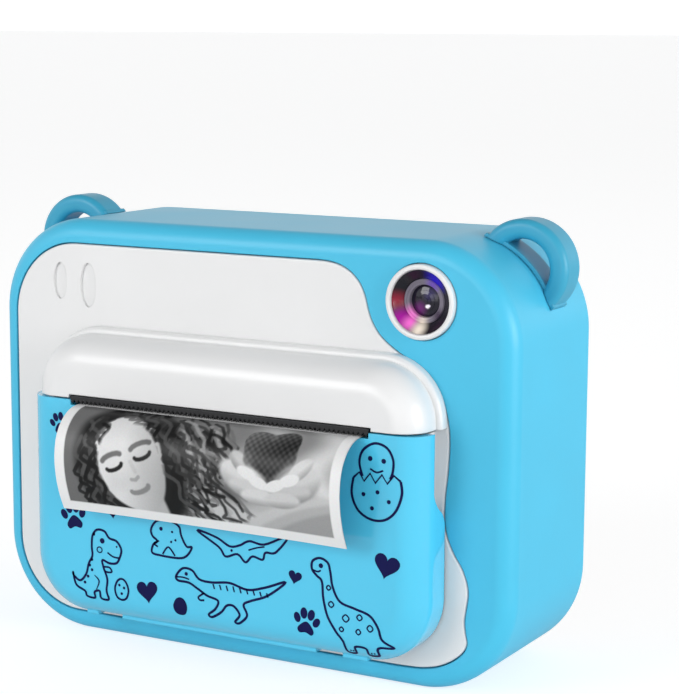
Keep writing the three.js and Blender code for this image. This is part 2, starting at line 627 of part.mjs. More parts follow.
// buttons: a cap through the rear panel with a flange at its front end, inside the cover
for (const [name, button] of Object.entries(BUTTONS)) {
  const cap = slab(egg(button), 13.1, 17.4, 0.7, 2);
  add(piece(name, cap.add(slab(egg(button, 0.7), 12.6, 13.45)), blue));
}

// flap over the ports in the underside, drawn upright and then laid flat
function portFlap() {
  const { x0, x1, y0, y1, recess } = FLAP;
  const thickness = recess - 0.1;
  const plate = slab(roundedRect(x0, x1, y0, y1, 1.5), 0, thickness, 0.2, 1)
    .rotate([-90, 0, 0])
    .translate([0, 0, thickness + 0.05]);
  return plate.add(rodX(0.65, x0 + 0.3, x1 - 0.3, { y: y0, z: 0.8 }, 12));
}
add(piece("port_flap", portFlap(), softBlue));

export default camera;
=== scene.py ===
"""Toy camera with a printer in its front: a blue shell with two ear loops, white wave panels,
a doodled paper door with a printed strip curling over it, a lens, and a screen and keys behind.

Lengths are millimetres until a mesh is made in metres. X runs to the right seen from the
front, Y from the front (negative) to the back, Z up from the floor.
"""
from math import cos, hypot, pi, radians, sin, sqrt

import bmesh
import bpy
import numpy as np
from mathutils import Matrix, Vector


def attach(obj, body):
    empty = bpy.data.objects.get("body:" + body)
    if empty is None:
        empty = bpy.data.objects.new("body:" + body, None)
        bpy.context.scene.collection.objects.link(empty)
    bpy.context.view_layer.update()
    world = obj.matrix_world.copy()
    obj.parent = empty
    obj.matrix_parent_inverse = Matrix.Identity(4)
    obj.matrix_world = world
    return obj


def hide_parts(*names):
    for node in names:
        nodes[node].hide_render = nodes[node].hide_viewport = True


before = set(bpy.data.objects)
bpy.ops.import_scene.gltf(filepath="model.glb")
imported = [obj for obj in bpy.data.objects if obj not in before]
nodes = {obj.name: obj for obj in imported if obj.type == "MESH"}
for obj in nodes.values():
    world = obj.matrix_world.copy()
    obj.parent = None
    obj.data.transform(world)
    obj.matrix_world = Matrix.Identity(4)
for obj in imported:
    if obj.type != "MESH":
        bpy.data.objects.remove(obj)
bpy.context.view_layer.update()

MM = 0.001
FAR = 60                                    # reach of a cutter that runs past every part
BODY_HALF, BODY_HEIGHT, BODY_CORNER = 52, 76.5, 17.3
BODY_FRONT, BODY_BACK = -16, 16
BAY_HALF, BAY_BOTTOM, BAY_TOP, BAY_CORNER = 39.9, 5.9, 57.6, 11.0   # hood and door outline
DOOR_FRONT, DOOR_FILLET = -25, 5.0
LENS_X, LENS_Z = 34.9, 66.4
PAPER_HALF = 28.5
ROLL_Y, ROLL_Z = -8, 21.2


# ---------------------------------------------------------------- outlines, as (x, z) points
def rounded_rect(x0, x1, z0, z1, r, count=18):
    corners = ((x1 - r, z0 + r, -90), (x1 - r, z1 - r, 0), (x0 + r, z1 - r, 90),
               (x0 + r, z0 + r, 180))
    return [point for x, z, start in corners for point in arc(x, z, r, start, start + 90, count)]


def arc(x, z, r, start, end, count):
    angles = [radians(start + (end - start) * i / count) for i in range(count + 1)]
    return [(x + r * cos(angle), z + r * sin(angle)) for angle in angles]


def ellipse(x, z, a, b, count=40, tilt=0):
    c, s = cos(radians(tilt)), sin(radians(tilt))
    turns = [2 * pi * i / count for i in range(count)]
    return [(x + a * cos(t) * c - b * sin(t) * s, z + a * cos(t) * s + b * sin(t) * c)
            for t in turns]


def spline(knots, steps=6, closed=False):
    """Catmull-Rom curve through the knots."""
    curve = []
    count = len(knots)
    for i in range(count if closed else count - 1):
        if closed:
            near = [knots[(i + k - 1) % count] for k in range(4)]
        else:
            near = [knots[max(i - 1, 0)], knots[i], knots[i + 1], knots[min(i + 2, count - 1)]]
        for step in range(steps):
            t = step / steps
            curve.append(tuple(
                0.5 * (2 * b + (c - a) * t + (2 * a - 5 * b + 4 * c - d) * t * t
                       + (-a + 3 * b - 3 * c + d) * t ** 3) for a, b, c, d in zip(*near)))
    if not closed:
        curve.append(tuple(knots[-1]))
    return curve


def area(points):
    after = points[1:] + points[:1]
    return 0.5 * sum(p[0] * q[1] - q[0] * p[1] for p, q in zip(points, after))


def inset(points, distance):
    """Outline moved inwards; a negative distance moves it outwards."""
    sign = 1 if area(points) > 0 else -1
    moved = []
    for i, (x, z) in enumerate(points):
        a, b = points[i - 1], points[(i + 1) % len(points)]
        length = hypot(b[0] - a[0], b[1] - a[1]) or 1
        moved.append((x - sign * distance * (b[1] - a[1]) / length,
                      z + sign * distance * (b[0] - a[0]) / length))
    return moved


def place(points, x, z, scale=1.0, tilt=0, flip=1):
    c, s = cos(radians(tilt)), sin(radians(tilt))
    return [(x + scale * (flip * px * c - pz * s), z + scale * (flip * px * s + pz * c))
            for px, pz in points]


def at_depth(outline, y):
    return [(x, y, z) for x, z in outline]


# ---------------------------------------------------------------- meshes
def raw_mesh(name, points, faces):
    mesh = bpy.data.meshes.new(name)
    mesh.from_pydata([tuple(float(c) * MM for c in point) for point in points], [], faces)
    mesh.update()
    made = bpy.data.objects.new(name, mesh)
    bpy.context.scene.collection.objects.link(made)
    return made


def solid(name, points, faces):
    """Mesh with shared corners merged and faces turned outwards."""
    made = raw_mesh(name, points, faces)
    bm = bmesh.new()
    bm.from_mesh(made.data)
    bmesh.ops.remove_doubles(bm, verts=bm.verts, dist=1e-7)
    bmesh.ops.recalc_face_normals(bm, faces=bm.faces)
    bm.to_mesh(made.data)
    bm.free()
    return made


def loft(name, rings):
    n = len(rings[0])
    faces = []
    for k in range(len(rings) - 1):
        for i in range(n):
            j = (i + 1) % n
            faces.append((k * n + i, k * n + j, (k + 1) * n + j, (k + 1) * n + i))
    faces.append(tuple(range(n)))
    faces.append(tuple(reversed(range((len(rings) - 1) * n, len(rings) * n))))
    return solid(name, [point for ring in rings for point in ring], faces)


def box(x0, x1, y0, y1, z0, z1):
    points = [(x, y, z) for x in (x0, x1) for y in (y0, y1) for z in (z0, z1)]
    return solid("box", points, [(0, 1, 3, 2), (4, 6, 7, 5), (0, 4, 5, 1), (2, 3, 7, 6),
                                 (0, 2, 6, 4), (1, 5, 7, 3)])


def edge_steps(front, back, front_fillet, back_fillet, count):
    """(inset, y) stations of a slab with rounded front and back edges."""
    def fillet(r):
        if not r:
            return [(0, 0)]
        turns = [radians(90 * i / count) for i in range(count + 1)]
        return [(r * (1 - sin(t)), r * (1 - cos(t))) for t in turns]
    return ([(d, front + y) for d, y in fillet(front_fillet)]
            + [(d, back - y) for d, y in reversed(fillet(back_fillet))])


def rounded_slab(name, x0, x1, z0, z1, r, front, back, front_fillet=0, back_fillet=0, count=18):
    rings = [at_depth(rounded_rect(x0 + d, x1 - d, z0 + d, z1 - d, max(r - d, 0.3), count), y)
             for d, y in edge_steps(front, back, front_fillet, back_fillet, 9)]
    return loft(name, rings)


def body_slab(name, grow, front, back, front_fillet=0, back_fillet=0, count=24):
    """Slab on the body outline grown by a margin."""
    half = BODY_HALF + grow
    return rounded_slab(name, -half, half, -grow, BODY_HEIGHT + grow, BODY_CORNER + grow,
                        front, back, front_fillet, back_fillet, count)


def bay_slab(name, margin, front, front_fillet, back, count=18):
    """Slab on the printer bay outline drawn in by a margin."""
    half = BAY_HALF - margin
    return rounded_slab(name, -half, half, BAY_BOTTOM + margin, BAY_TOP - margin,
                        BAY_CORNER - margin, front, back, front_fillet, count=count)


def plate(name, outline, front, back, front_fillet=0, back_fillet=0):
    steps = edge_steps(front, back, front_fillet, back_fillet, 5)
    return loft(name, [at_depth(inset(outline, d), y) for d, y in steps])


def revolve(name, profile, across, z, count=96, axis="Y"):
    """Ring turned from a closed profile of (radius, place along the axis)."""
    points, faces = [], []
    k = len(profile)
    for i in range(count):
        turn = 2 * pi * i / count
        for radius, along in profile:
            side, height = across + radius * cos(turn), z + radius * sin(turn)
            points.append((side, along, height) if axis == "Y" else (along, side, height))
        after = (i + 1) % count
        for j in range(k):
            q = (j + 1) % k
            faces.append((i * k + j, i * k + q, after * k + q, after * k + j))
    return solid(name, points, faces)


def along_x(name, outline, x0, x1):
    """Prism from an outline of (y, z)."""
    return loft(name, [[(x, y, z) for y, z in outline] for x in (x0, x1)])


def rod_x(r, x0, x1, y, z, count):
    return along_x("rod", ellipse(y, z, r, r, count), x0, x1)


def rod_y(r, y0, y1, x, z, count):
    return plate("rod", ellipse(x, z, r, r, count), y0, y1)


def boolean(target, tool, operation="DIFFERENCE"):
    modifier = target.modifiers.new("b", "BOOLEAN")
    modifier.operation = operation
    modifier.object = tool
    modifier.solver = "EXACT"
    bpy.context.view_layer.update()
    graph = bpy.context.evaluated_depsgraph_get()
    mesh = bpy.data.meshes.new_from_object(target.evaluated_get(graph))
    target.modifiers.remove(modifier)
    target.data = mesh
    bpy.data.objects.remove(tool, do_unlink=True)


def cut(target, *tools):
    for tool in tools:
        boolean(target, tool)


def finish(made, surface, body, slot, *replaced, angle=32, weighted=True):
    made.data.materials.clear()
    made.data.materials.append(surface)
    made.data.shade_smooth()
    made.data.set_sharp_from_angle(angle=radians(angle))
    if weighted:
        modifier = made.modifiers.new("normals", "WEIGHTED_NORMAL")
        modifier.keep_sharp = True
        modifier.weight = 80
    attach(made, body)
    if replaced:
        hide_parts(*replaced)
    return made


# ---------------------------------------------------------------- materials
def set_inputs(tree, node, inputs):
    """Sockets are linked, other values are set."""
    for key, value in inputs.items():
        if isinstance(value, bpy.types.NodeSocket):
            tree.links.new(value, node.inputs[key])
        else:
            node.inputs[key].default_value = value


def add_node(tree, kind, inputs=None, **settings):
    node = tree.nodes.new("ShaderNode" + kind)
    for key, value in settings.items():
        setattr(node, key, value)
    set_inputs(tree, node, inputs or {})
    return node


def multiply(tree, factor, a, b):
    return add_node(tree, "Mix", {"Factor": factor, "A": a, "B": b}, data_type="RGBA",
                    blend_type="MULTIPLY").outputs["Result"]


def material(name, colour=None, rough=0.35, metal=0.0, coat=0.0, coat_rough=0.08, vary=0.03,
             grain=1400.0, bump=0.04, bevel=0.0003, ior=1.46, subsurface=0.0, glow=0.0,
             ring_scale=0.0):
    """Plastic, metal or paper. Without a colour it shows the mesh's own "Col" colours.

    vary is the share the colour drifts by, grain the noise scale of the bump, bevel a shaded
    edge radius in metres, and ring_scale sets the wound rings of the paper roll.
    """
    made = bpy.data.materials.new(name)
    made.use_nodes = True
    tree = made.node_tree
    spot = add_node(tree, "TexCoord").outputs["Object"]
    fine = add_node(tree, "TexNoise", {"Vector": spot, "Scale": grain, "Detail": 3})
    wide = add_node(tree, "TexNoise", {"Vector": spot, "Scale": 55.0, "Detail": 4})
    surface = {}
    if colour is None:
        paint = add_node(tree, "Attribute", attribute_name="Col").outputs["Color"]
        base = multiply(tree, 0.12, paint, fine.outputs["Color"])
        if glow:
            surface = {"Emission Color": paint, "Emission Strength": glow}
    else:
        ramp = add_node(tree, "ValToRGB", {"Fac": wide.outputs["Fac"]})
        dark, pale = ramp.color_ramp.elements
        dark.position, pale.position = 0.3, 0.7
        dark.color = (*[c * (1 - vary) for c in colour], 1)
        pale.color = (*[min(1, c * (1 + vary)) for c in colour], 1)
        base = ramp.outputs["Color"]
    if ring_scale:
        centred = add_node(tree, "Mapping",
                           {"Vector": spot, "Location": (0, -ROLL_Y * MM, -ROLL_Z * MM)})
        wave = add_node(tree, "TexWave",
                        {"Scale": ring_scale, "Vector": centred.outputs["Vector"]},
                        wave_type="RINGS", rings_direction="X")
        base = multiply(tree, 0.25, base, wave.outputs["Color"])
    roughness = add_node(tree, "MapRange", {
        "Value": wide.outputs["Fac"], "To Min": max(0.02, rough - 0.05),
        "To Max": min(1, rough + 0.05)})
    relief = {"Strength": bump, "Distance": 0.0001, "Height": fine.outputs["Fac"]}
    if bevel:
        edge = add_node(tree, "Bevel", {"Radius": bevel}, samples=4)
        relief["Normal"] = edge.outputs["Normal"]
    surface.update({
        "Base Color": base, "Roughness": roughness.outputs["Result"],
        "Normal": add_node(tree, "Bump", relief).outputs["Normal"],
        "Metallic": metal, "IOR": ior, "Coat Weight": coat, "Coat Roughness": coat_rough})
    if subsurface:
        surface["Subsurface Weight"] = subsurface
        surface["Subsurface Radius"] = (0.001, 0.001, 0.001)
    set_inputs(tree, tree.nodes["Principled BSDF"], surface)
    return made


SHELL_LOOK = dict(rough=0.38, vary=0.025, coat=0.05, coat_rough=0.25, ior=1.4, bump=0.05)
# engraved marks are drawn flat with no groove; their darker blue and grey is painted shade of the
# grooves
GROOVE_SHADE_LOOK = dict(vary=0.05, bevel=0, bump=0.02)
BLUE = material("shell blue", (0.068, 0.520, 0.765), **SHELL_LOOK)
# darker copy of the shell blue for the ear loops: painted shade, since the ears are the same blue
# plastic as the shell
SHADED_EAR_BLUE = material("ear blue painted shade", (0.042, 0.36, 0.54), **SHELL_LOOK)
DOOR = material("door blue", (0.080, 0.575, 0.84), rough=0.16, coat=0.7, coat_rough=0.05,
                vary=0.015, bump=0.015)
BUTTON = material("button blue", (0.070, 0.53, 0.79), rough=0.22, coat=0.4, coat_rough=0.1,
                  vary=0.02, bump=0.02)
WHITE = material("shell white", (0.79, 0.79, 0.79), rough=0.3, coat=0.25, coat_rough=0.2,
                 vary=0.015, bump=0.03)
INNER = material("inner white", (0.62, 0.62, 0.62), rough=0.5, bump=0.08)
INK = material("navy ink", (0.002, 0.003, 0.060), rough=0.45, vary=0.15, bevel=0, bump=0.02,
               ior=1.25)
GROOVE_SHADE_BLUE = material("painted groove shade blue", (0.03, 0.27, 0.52), **GROOVE_SHADE_LOOK)
GROOVE_SHADE_GREY = material("painted groove shade grey", (0.42, 0.43, 0.45), rough=0.45, **GROOVE_SHADE_LOOK)
BLACK = material("black plastic", (0.012, 0.012, 0.014), vary=0.15, bump=0.06)
STEEL = material("plated steel", (0.60, 0.61, 0.63), rough=0.28, metal=1.0, vary=0.06, bump=0.05)
RUBBER = material("platen rubber", (0.02, 0.02, 0.021), rough=0.75, vary=0.15, bump=0.25,
                  grain=2500)
SILICONE = material("silicone", (0.45, 0.45, 0.45), rough=0.7, vary=0.05, bump=0.1)
FLAP = material("soft flap blue", (0.06, 0.42, 0.72), rough=0.55, vary=0.05, bump=0.1)
ACETAL = material("acetal", (0.72, 0.68, 0.56), rough=0.4, subsurface=0.1)
BOARD = material("solder mask", (0.012, 0.13, 0.045), vary=0.2, bump=0.1, grain=700)
PAPER = material("thermal paper", (0.84, 0.84, 0.83), rough=0.5, vary=0.02, bump=0.12,
                 grain=3500, ring_scale=900.0)
CARD = material("card", (0.42, 0.29, 0.17), rough=0.9, vary=0.12, bump=0.4, grain=2600)
CERAMIC = material("ceramic", (0.62, 0.62, 0.58), rough=0.2, vary=0.04, coat=0.3)
WRAP = material("battery sleeve", (0.03, 0.12, 0.42), rough=0.3, vary=0.1, coat=0.3)
COPPER = material("copper film", (0.62, 0.28, 0.10), metal=1.0, vary=0.1)
SCREEN = material("screen glass", (0.004, 0.004, 0.006), rough=0.08, ior=1.28, vary=0.1,
                  bump=0.005)
PRINT = material("printed strip", rough=0.42, ior=1.35, bevel=0, grain=3000)
LCD = material("screen picture", rough=0.12, bevel=0, bump=0.0, grain=9000, coat=0.1, ior=1.3,
               glow=0.35)

# CAD pieces kept as they are, by material
KEPT = {
    STEEL: "platen_shaft motor_shaft door_hinge_pin feed_motor idler_axle head_pivot_pin "
           "head_spring_left head_spring_right head_heatsink usb_port card_socket "
           "rear_screw_1 rear_screw_2 rear_screw_3 rear_screw_4",
    RUBBER: "platen_rubber",
    SILICONE: "keypad_membrane",
    ACETAL: "platen_gear idler_gear motor_pinion",
    INNER: "printer_frame roll_spindle_left roll_spindle_right",
    CERAMIC: "print_head",
    BOARD: "main_board image_sensor_board",
    WRAP: "battery_cell",
    COPPER: "head_ribbon",
    CARD: "roll_core",
    FLAP: "port_flap",
    BLACK: "speaker lcd_module lens_barrel",
}
for surface, names in KEPT.items():
    for name in names.split():
        slots = nodes[name].data.materials
        slots.clear()
        slots.append(surface)

# ---------------------------------------------------------------- wave panel outlines
# (x, z) knots down the wavy right-hand side, seen from the front
FRONT_WAVE = [
    (11.5, 72.1), (17.1, 72.0), (20.5, 71.1), (22.9, 69.2), (24.2, 66.9), (24.9, 64.4),
    (25.8, 62.2), (27.4, 60), (30, 58), (33.3, 56.1), (36.4, 53.9), (38.6, 51), (39.9, 47.2),
    (40.3, 43.4), (40.1, 38.5), (39.6, 33.5), (39.6, 29.6), (40.2, 27), (41.4, 24.5),
    (42.9, 22.2), (43.8, 20), (44.1, 17.9), (43.8, 15.6), (43.5, 13.4), (43.7, 11.3),
    (44.0, 9.5), (43.2, 7.8), (41.2, 6.1), (38.6, 4.8), (35.4, 4.1), (31, 3.9)]
FRONT = arc(-35.2, 58.8, 13.3, 180, 90, 20) + spline(FRONT_WAVE) + arc(-35.4, 17, 13.1, 270, 180, 20)
REAR_WAVE = [
    (21.4, 71.9), (23.6, 70.9), (25.5, 68.9), (26.6, 66.3), (27.9, 63.8), (30.8, 60.7),
    (35.4, 58), (39.2, 55.4), (41.5, 52), (42.5, 47.6), (42.5, 42.5), (41.7, 37.6),
    (41.2, 33.6), (41.7, 30.4), (43.6, 27), (45.8, 23.6), (46.9, 20.2), (47.0, 17.6)]
REAR_X, REAR_LOW, REAR_HIGH, REAR_CORNER = 34.6, 17.4, 59.4, 12.5
REAR = (spline(REAR_WAVE) + arc(REAR_X, REAR_LOW, REAR_CORNER, -8, -90, 16)
        + arc(-REAR_X, REAR_LOW, REAR_CORNER, 270, 180, 20)
        + arc(-REAR_X, REAR_HIGH, REAR_CORNER, 180, 90, 20))


# ---------------------------------------------------------------- housing
def bay_opening():
    return rounded_slab("cutter", -36, 36, 6.5, 54, 5.5, -20, -11, count=8)


shell = body_slab("housing_shell", 0, BODY_FRONT, BODY_BACK, 3.2, 1.4)
cut(shell,
    body_slab("cutter", -2, -13, 13.5, count=18),           # hollow inside
    body_slab("cutter", -4.05, 12, 20),                     # open back
    plate("cutter", inset(FRONT, -0.22), -20, -14.4),       # seat of the front panel
    bay_opening(),
    rod_y(6.47, -20, -11, LENS_X, LENS_Z, 96),
    box(-28.5, -9.1, -0.4, 9.7, -1, 1.65),                  # stepped opening underneath
    box(-26.8, -10.8, 2.0, 8.5, 1, 3))
finish(shell, BLUE, "housing", "blue_shell", "main_housing")

panel = plate("front_wave_panel", FRONT, BODY_FRONT, -14.45, 0.35)
cut(panel, bay_opening())
# two shallow oval dimples: x, z, width, height
for x, z, width, height in ((-38.6, 65.2, 2.8, 6.6), (-32.4, 64.7, 3.3, 8.0)):
    cut(panel, plate("cutter", ellipse(x, z, width / 2, height / 2, 64), -20, -15.55))
finish(panel, WHITE, "housing", "white_shell", "front_panel")
for name, x0, x1 in (("skirt_right", 36.2, 37.7), ("skirt_left", -37.7, -36.2)):
    skirt = finish(box(x0, x1, -19.4, -15.9, 18, 45), WHITE, "housing", "white_shell")
    skirt.name = name


# Ear loops, each on a foot that follows the shell
def clear_body(part):
    cut(part, body_slab("cutter", 0.12, -20, 20))


for side, word in ((-1, "left"), (1, "right")):
    ear_x, ear_z = side * 45.8, 71.0
    ear = revolve("ear_" + word, rounded_rect(5.0, 8.4, -1.0, 5.6, 1.25, 8), ear_x, ear_z, 128)
    clear_body(ear)
    foot = body_slab("ear_%s_foot" % word, 0.8, -0.6, 5.2, 0.2, 0.2)
    clear_body(foot)
    boolean(foot, rod_y(8.7, -10, 10, ear_x, ear_z, 64), "INTERSECT")
    # ear and foot in the painted-shade copy of the shell blue
    finish(ear, SHADED_EAR_BLUE, "housing", "blue_shell", "ear_loop_" + word)
    finish(foot, SHADED_EAR_BLUE, "housing", "blue_shell")

# ---------------------------------------------------------------- printer hood and tear bar
HOOD_EDGE = 45.75
CAVITY_FRONT = -23.4
TEAR_HALF, TEETH = 30, 66
TEAR_TOP, TOOTH_ROOT, TOOTH_TIP = 46.2, 45.5, 44.85


def below_hood():
    return box(-FAR, FAR, -FAR, 20, -20, HOOD_EDGE)


hood = bay_slab("printer_hood_dome", 1, DOOR_FRONT, 5.2, -16.05, 20)
cut(hood, bay_slab("cutter", 2.8, CAVITY_FRONT, 3.8, -11), below_hood(),
    box(-30.4, 30.4, -30, -21.4, 0, 46.35))
finish(hood, WHITE, "housing", "white_shell", "printer_hood")
step = bay_slab("printer_hood_step", 0, -18.2, 0.9, -16.05, 20)
cut(step, bay_slab("cutter", 1.15, CAVITY_FRONT, 0.5, -5), below_hood())
finish(step, WHITE, "housing", "white_shell")

pitch = 2 * TEAR_HALF / TEETH
teeth = [(-TEAR_HALF, TEAR_TOP), (TEAR_HALF, TEAR_TOP), (TEAR_HALF, TOOTH_ROOT)]
for i in range(TEETH):
    x = TEAR_HALF - i * pitch
    teeth += [(x - pitch / 2, TOOTH_TIP), (x - pitch, TOOTH_ROOT)]
bar = plate("tear_bar_teeth", teeth, -25.1, -24.4)
finish(bar, BLACK, "housing", "black_plastic", "tear_bar", weighted=False)
tear_plate = finish(box(-TEAR_HALF, TEAR_HALF, -24.4, -21.7, 45.6, TEAR_TOP), BLACK,
                    "housing", "black_plastic")
tear_plate.name = "tear_bar_plate"

# ---------------------------------------------------------------- paper door
HINGE_Y, HINGE_Z = -18.1, 7.7
# (y, z) outline of the notch high on each side of the door
NOTCH = ([(-10, 46), (-20.4, 46)]
         + spline([(-20.4, 35.4), (-20, 34.2), (-18.9, 32.8), (-17.4, 31.6), (-16.7, 30.6),
                   (-16.1, 29.5)])
         + [(-10, 29.5)])
BRACKET = [(-23.6, 35), (-18, 35), (-16.4, 39), (-16.4, 43.8), (-23.6, 43.8)]   # (y, z)

door = bay_slab("paper_door_shell", 0, DOOR_FRONT, DOOR_FILLET, -16.3, 24)
cut(door, bay_slab("cutter", 1.6, CAVITY_FRONT, 3.4, -5),
    box(-FAR, FAR, -FAR, 20, 45.45, 80),
    box(-FAR, FAR, HINGE_Y, 0, -5, 7.9))
boolean(door, rod_x(1.8, -28.9, 28.9, HINGE_Y, HINGE_Z, 48), "UNION")
boolean(door, box(-28.8, 28.8, -22.5, HINGE_Y, 5.92, 8.1), "UNION")
for x0, x1 in ((-26, -21.4), (19.2, 23.8)):     # gaps in the hinge barrel
    cut(door, box(x0 - 0.3, x1 + 0.3, -22.7, 0, -5, 10.6))
cut(door, along_x("cutter", NOTCH, 36.5, 48), along_x("cutter", NOTCH, -48, -36.5),
    box(-30, 30, -30, -15, 44.5, 60))
for word, x0, x1 in (("left", -30.9, -29.4), ("right", 29.4, 30.9)):
    bracket = along_x("bracket", BRACKET, x0, x1)
    cut(bracket, rod_x(1.35, -33, 33, -18.9, 41.5, 32))
    bracket.name = "platen_bracket_" + word
    finish(bracket, DOOR, "door", "blue_gloss")
finish(door, DOOR, "door", "blue_gloss", "paper_door")


def door_surface(x, z):
    """Y of the door's front, flat inside and rounded off within a fillet of its edge."""
    side = abs(x) - (BAY_HALF - BAY_CORNER)
    rise = abs(z - (BAY_BOTTOM + BAY_TOP) / 2) - ((BAY_TOP - BAY_BOTTOM) / 2 - BAY_CORNER)
    depth = -(min(max(side, rise), 0) + hypot(max(side, 0), max(rise, 0)) - BAY_CORNER)
    if depth >= DOOR_FILLET:
        return DOOR_FRONT
    short = DOOR_FILLET - max(depth, 0)
    return DOOR_FRONT + DOOR_FILLET - sqrt(max(DOOR_FILLET ** 2 - short ** 2, 0))


class Drawing:
    """Flat drawing on a surface y = f(x, z); side is -1 on the front and +1 on the back."""

    def __init__(self, surface, lift, side, bold=1.0):
        self.surface, self.lift, self.side, self.bold = surface, lift, side, bold
        self.points, self.faces = [], []

    def put(self, x, z):
        self.points.append((x, self.surface(x, z) + self.side * self.lift, z))
        return len(self.points) - 1

    def face(self, corners):
        self.faces.append(corners if self.side < 0 else corners[::-1])

    def dot(self, x, z, a, b=None, tilt=0):
        outline = ellipse(x, z, a, b or a, 20, tilt)
        centre = self.put(x, z)
        rim = [self.put(*p) for p in outline]
        middle = [self.put(x + (p[0] - x) * 0.5, z + (p[1] - z) * 0.5) for p in outline]
        for i in range(20):
            j = (i + 1) % 20
            self.face((centre, middle[i], middle[j]))
            self.face((middle[i], rim[i], rim[j], middle[j]))

    def fill(self, outline):
        if area(outline) < 0:
            outline = outline[::-1]
        n = len(outline)
        x, z = sum(p[0] for p in outline) / n, sum(p[1] for p in outline) / n
        centre = self.put(x, z)
        rings = [[self.put(x + (p[0] - x) * k, z + (p[1] - z) * k) for p in outline]
                 for k in (0.25, 0.5, 0.75, 1)]
        for i in range(n):
            j = (i + 1) % n
            self.face((centre, rings[0][i], rings[0][j]))
            for near, far in zip(rings[:-1], rings[1:]):
                self.face((near[i], far[i], far[j], near[j]))

    def line(self, path, width, closed=False, taper=False):
        n = len(path)
        pairs = []
        for i, (x, z) in enumerate(path):
            if closed:
                a, b = path[i - 1], path[(i + 1) % n]
            else:
                a, b = path[max(i - 1, 0)], path[min(i + 1, n - 1)]
            length = hypot(b[0] - a[0], b[1] - a[1]) or 1
            half = width * self.bold / 2
            if taper:
                half *= 0.35 + 0.65 * sin(pi * (i + 0.5) / n)
            dx, dz = -(b[1] - a[1]) / length * half, (b[0] - a[0]) / length * half
            pairs.append((self.put(x + dx, z + dz), self.put(x - dx, z - dz)))
        for before, after in zip(pairs, pairs[1:] + (pairs[:1] if closed else [])):
            self.face((before[0], before[1], after[1], after[0]))

    def make(self, name, surface, body):
        made = raw_mesh(name, self.points, self.faces)
        made.data.materials.append(surface)
        made.data.shade_smooth()
        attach(made, body)


# ---------------------------------------------------------------- door doodles
def diamond(x, z, r):
    return [(x + r, z), (x, z + r), (x - r, z), (x, z - r)]


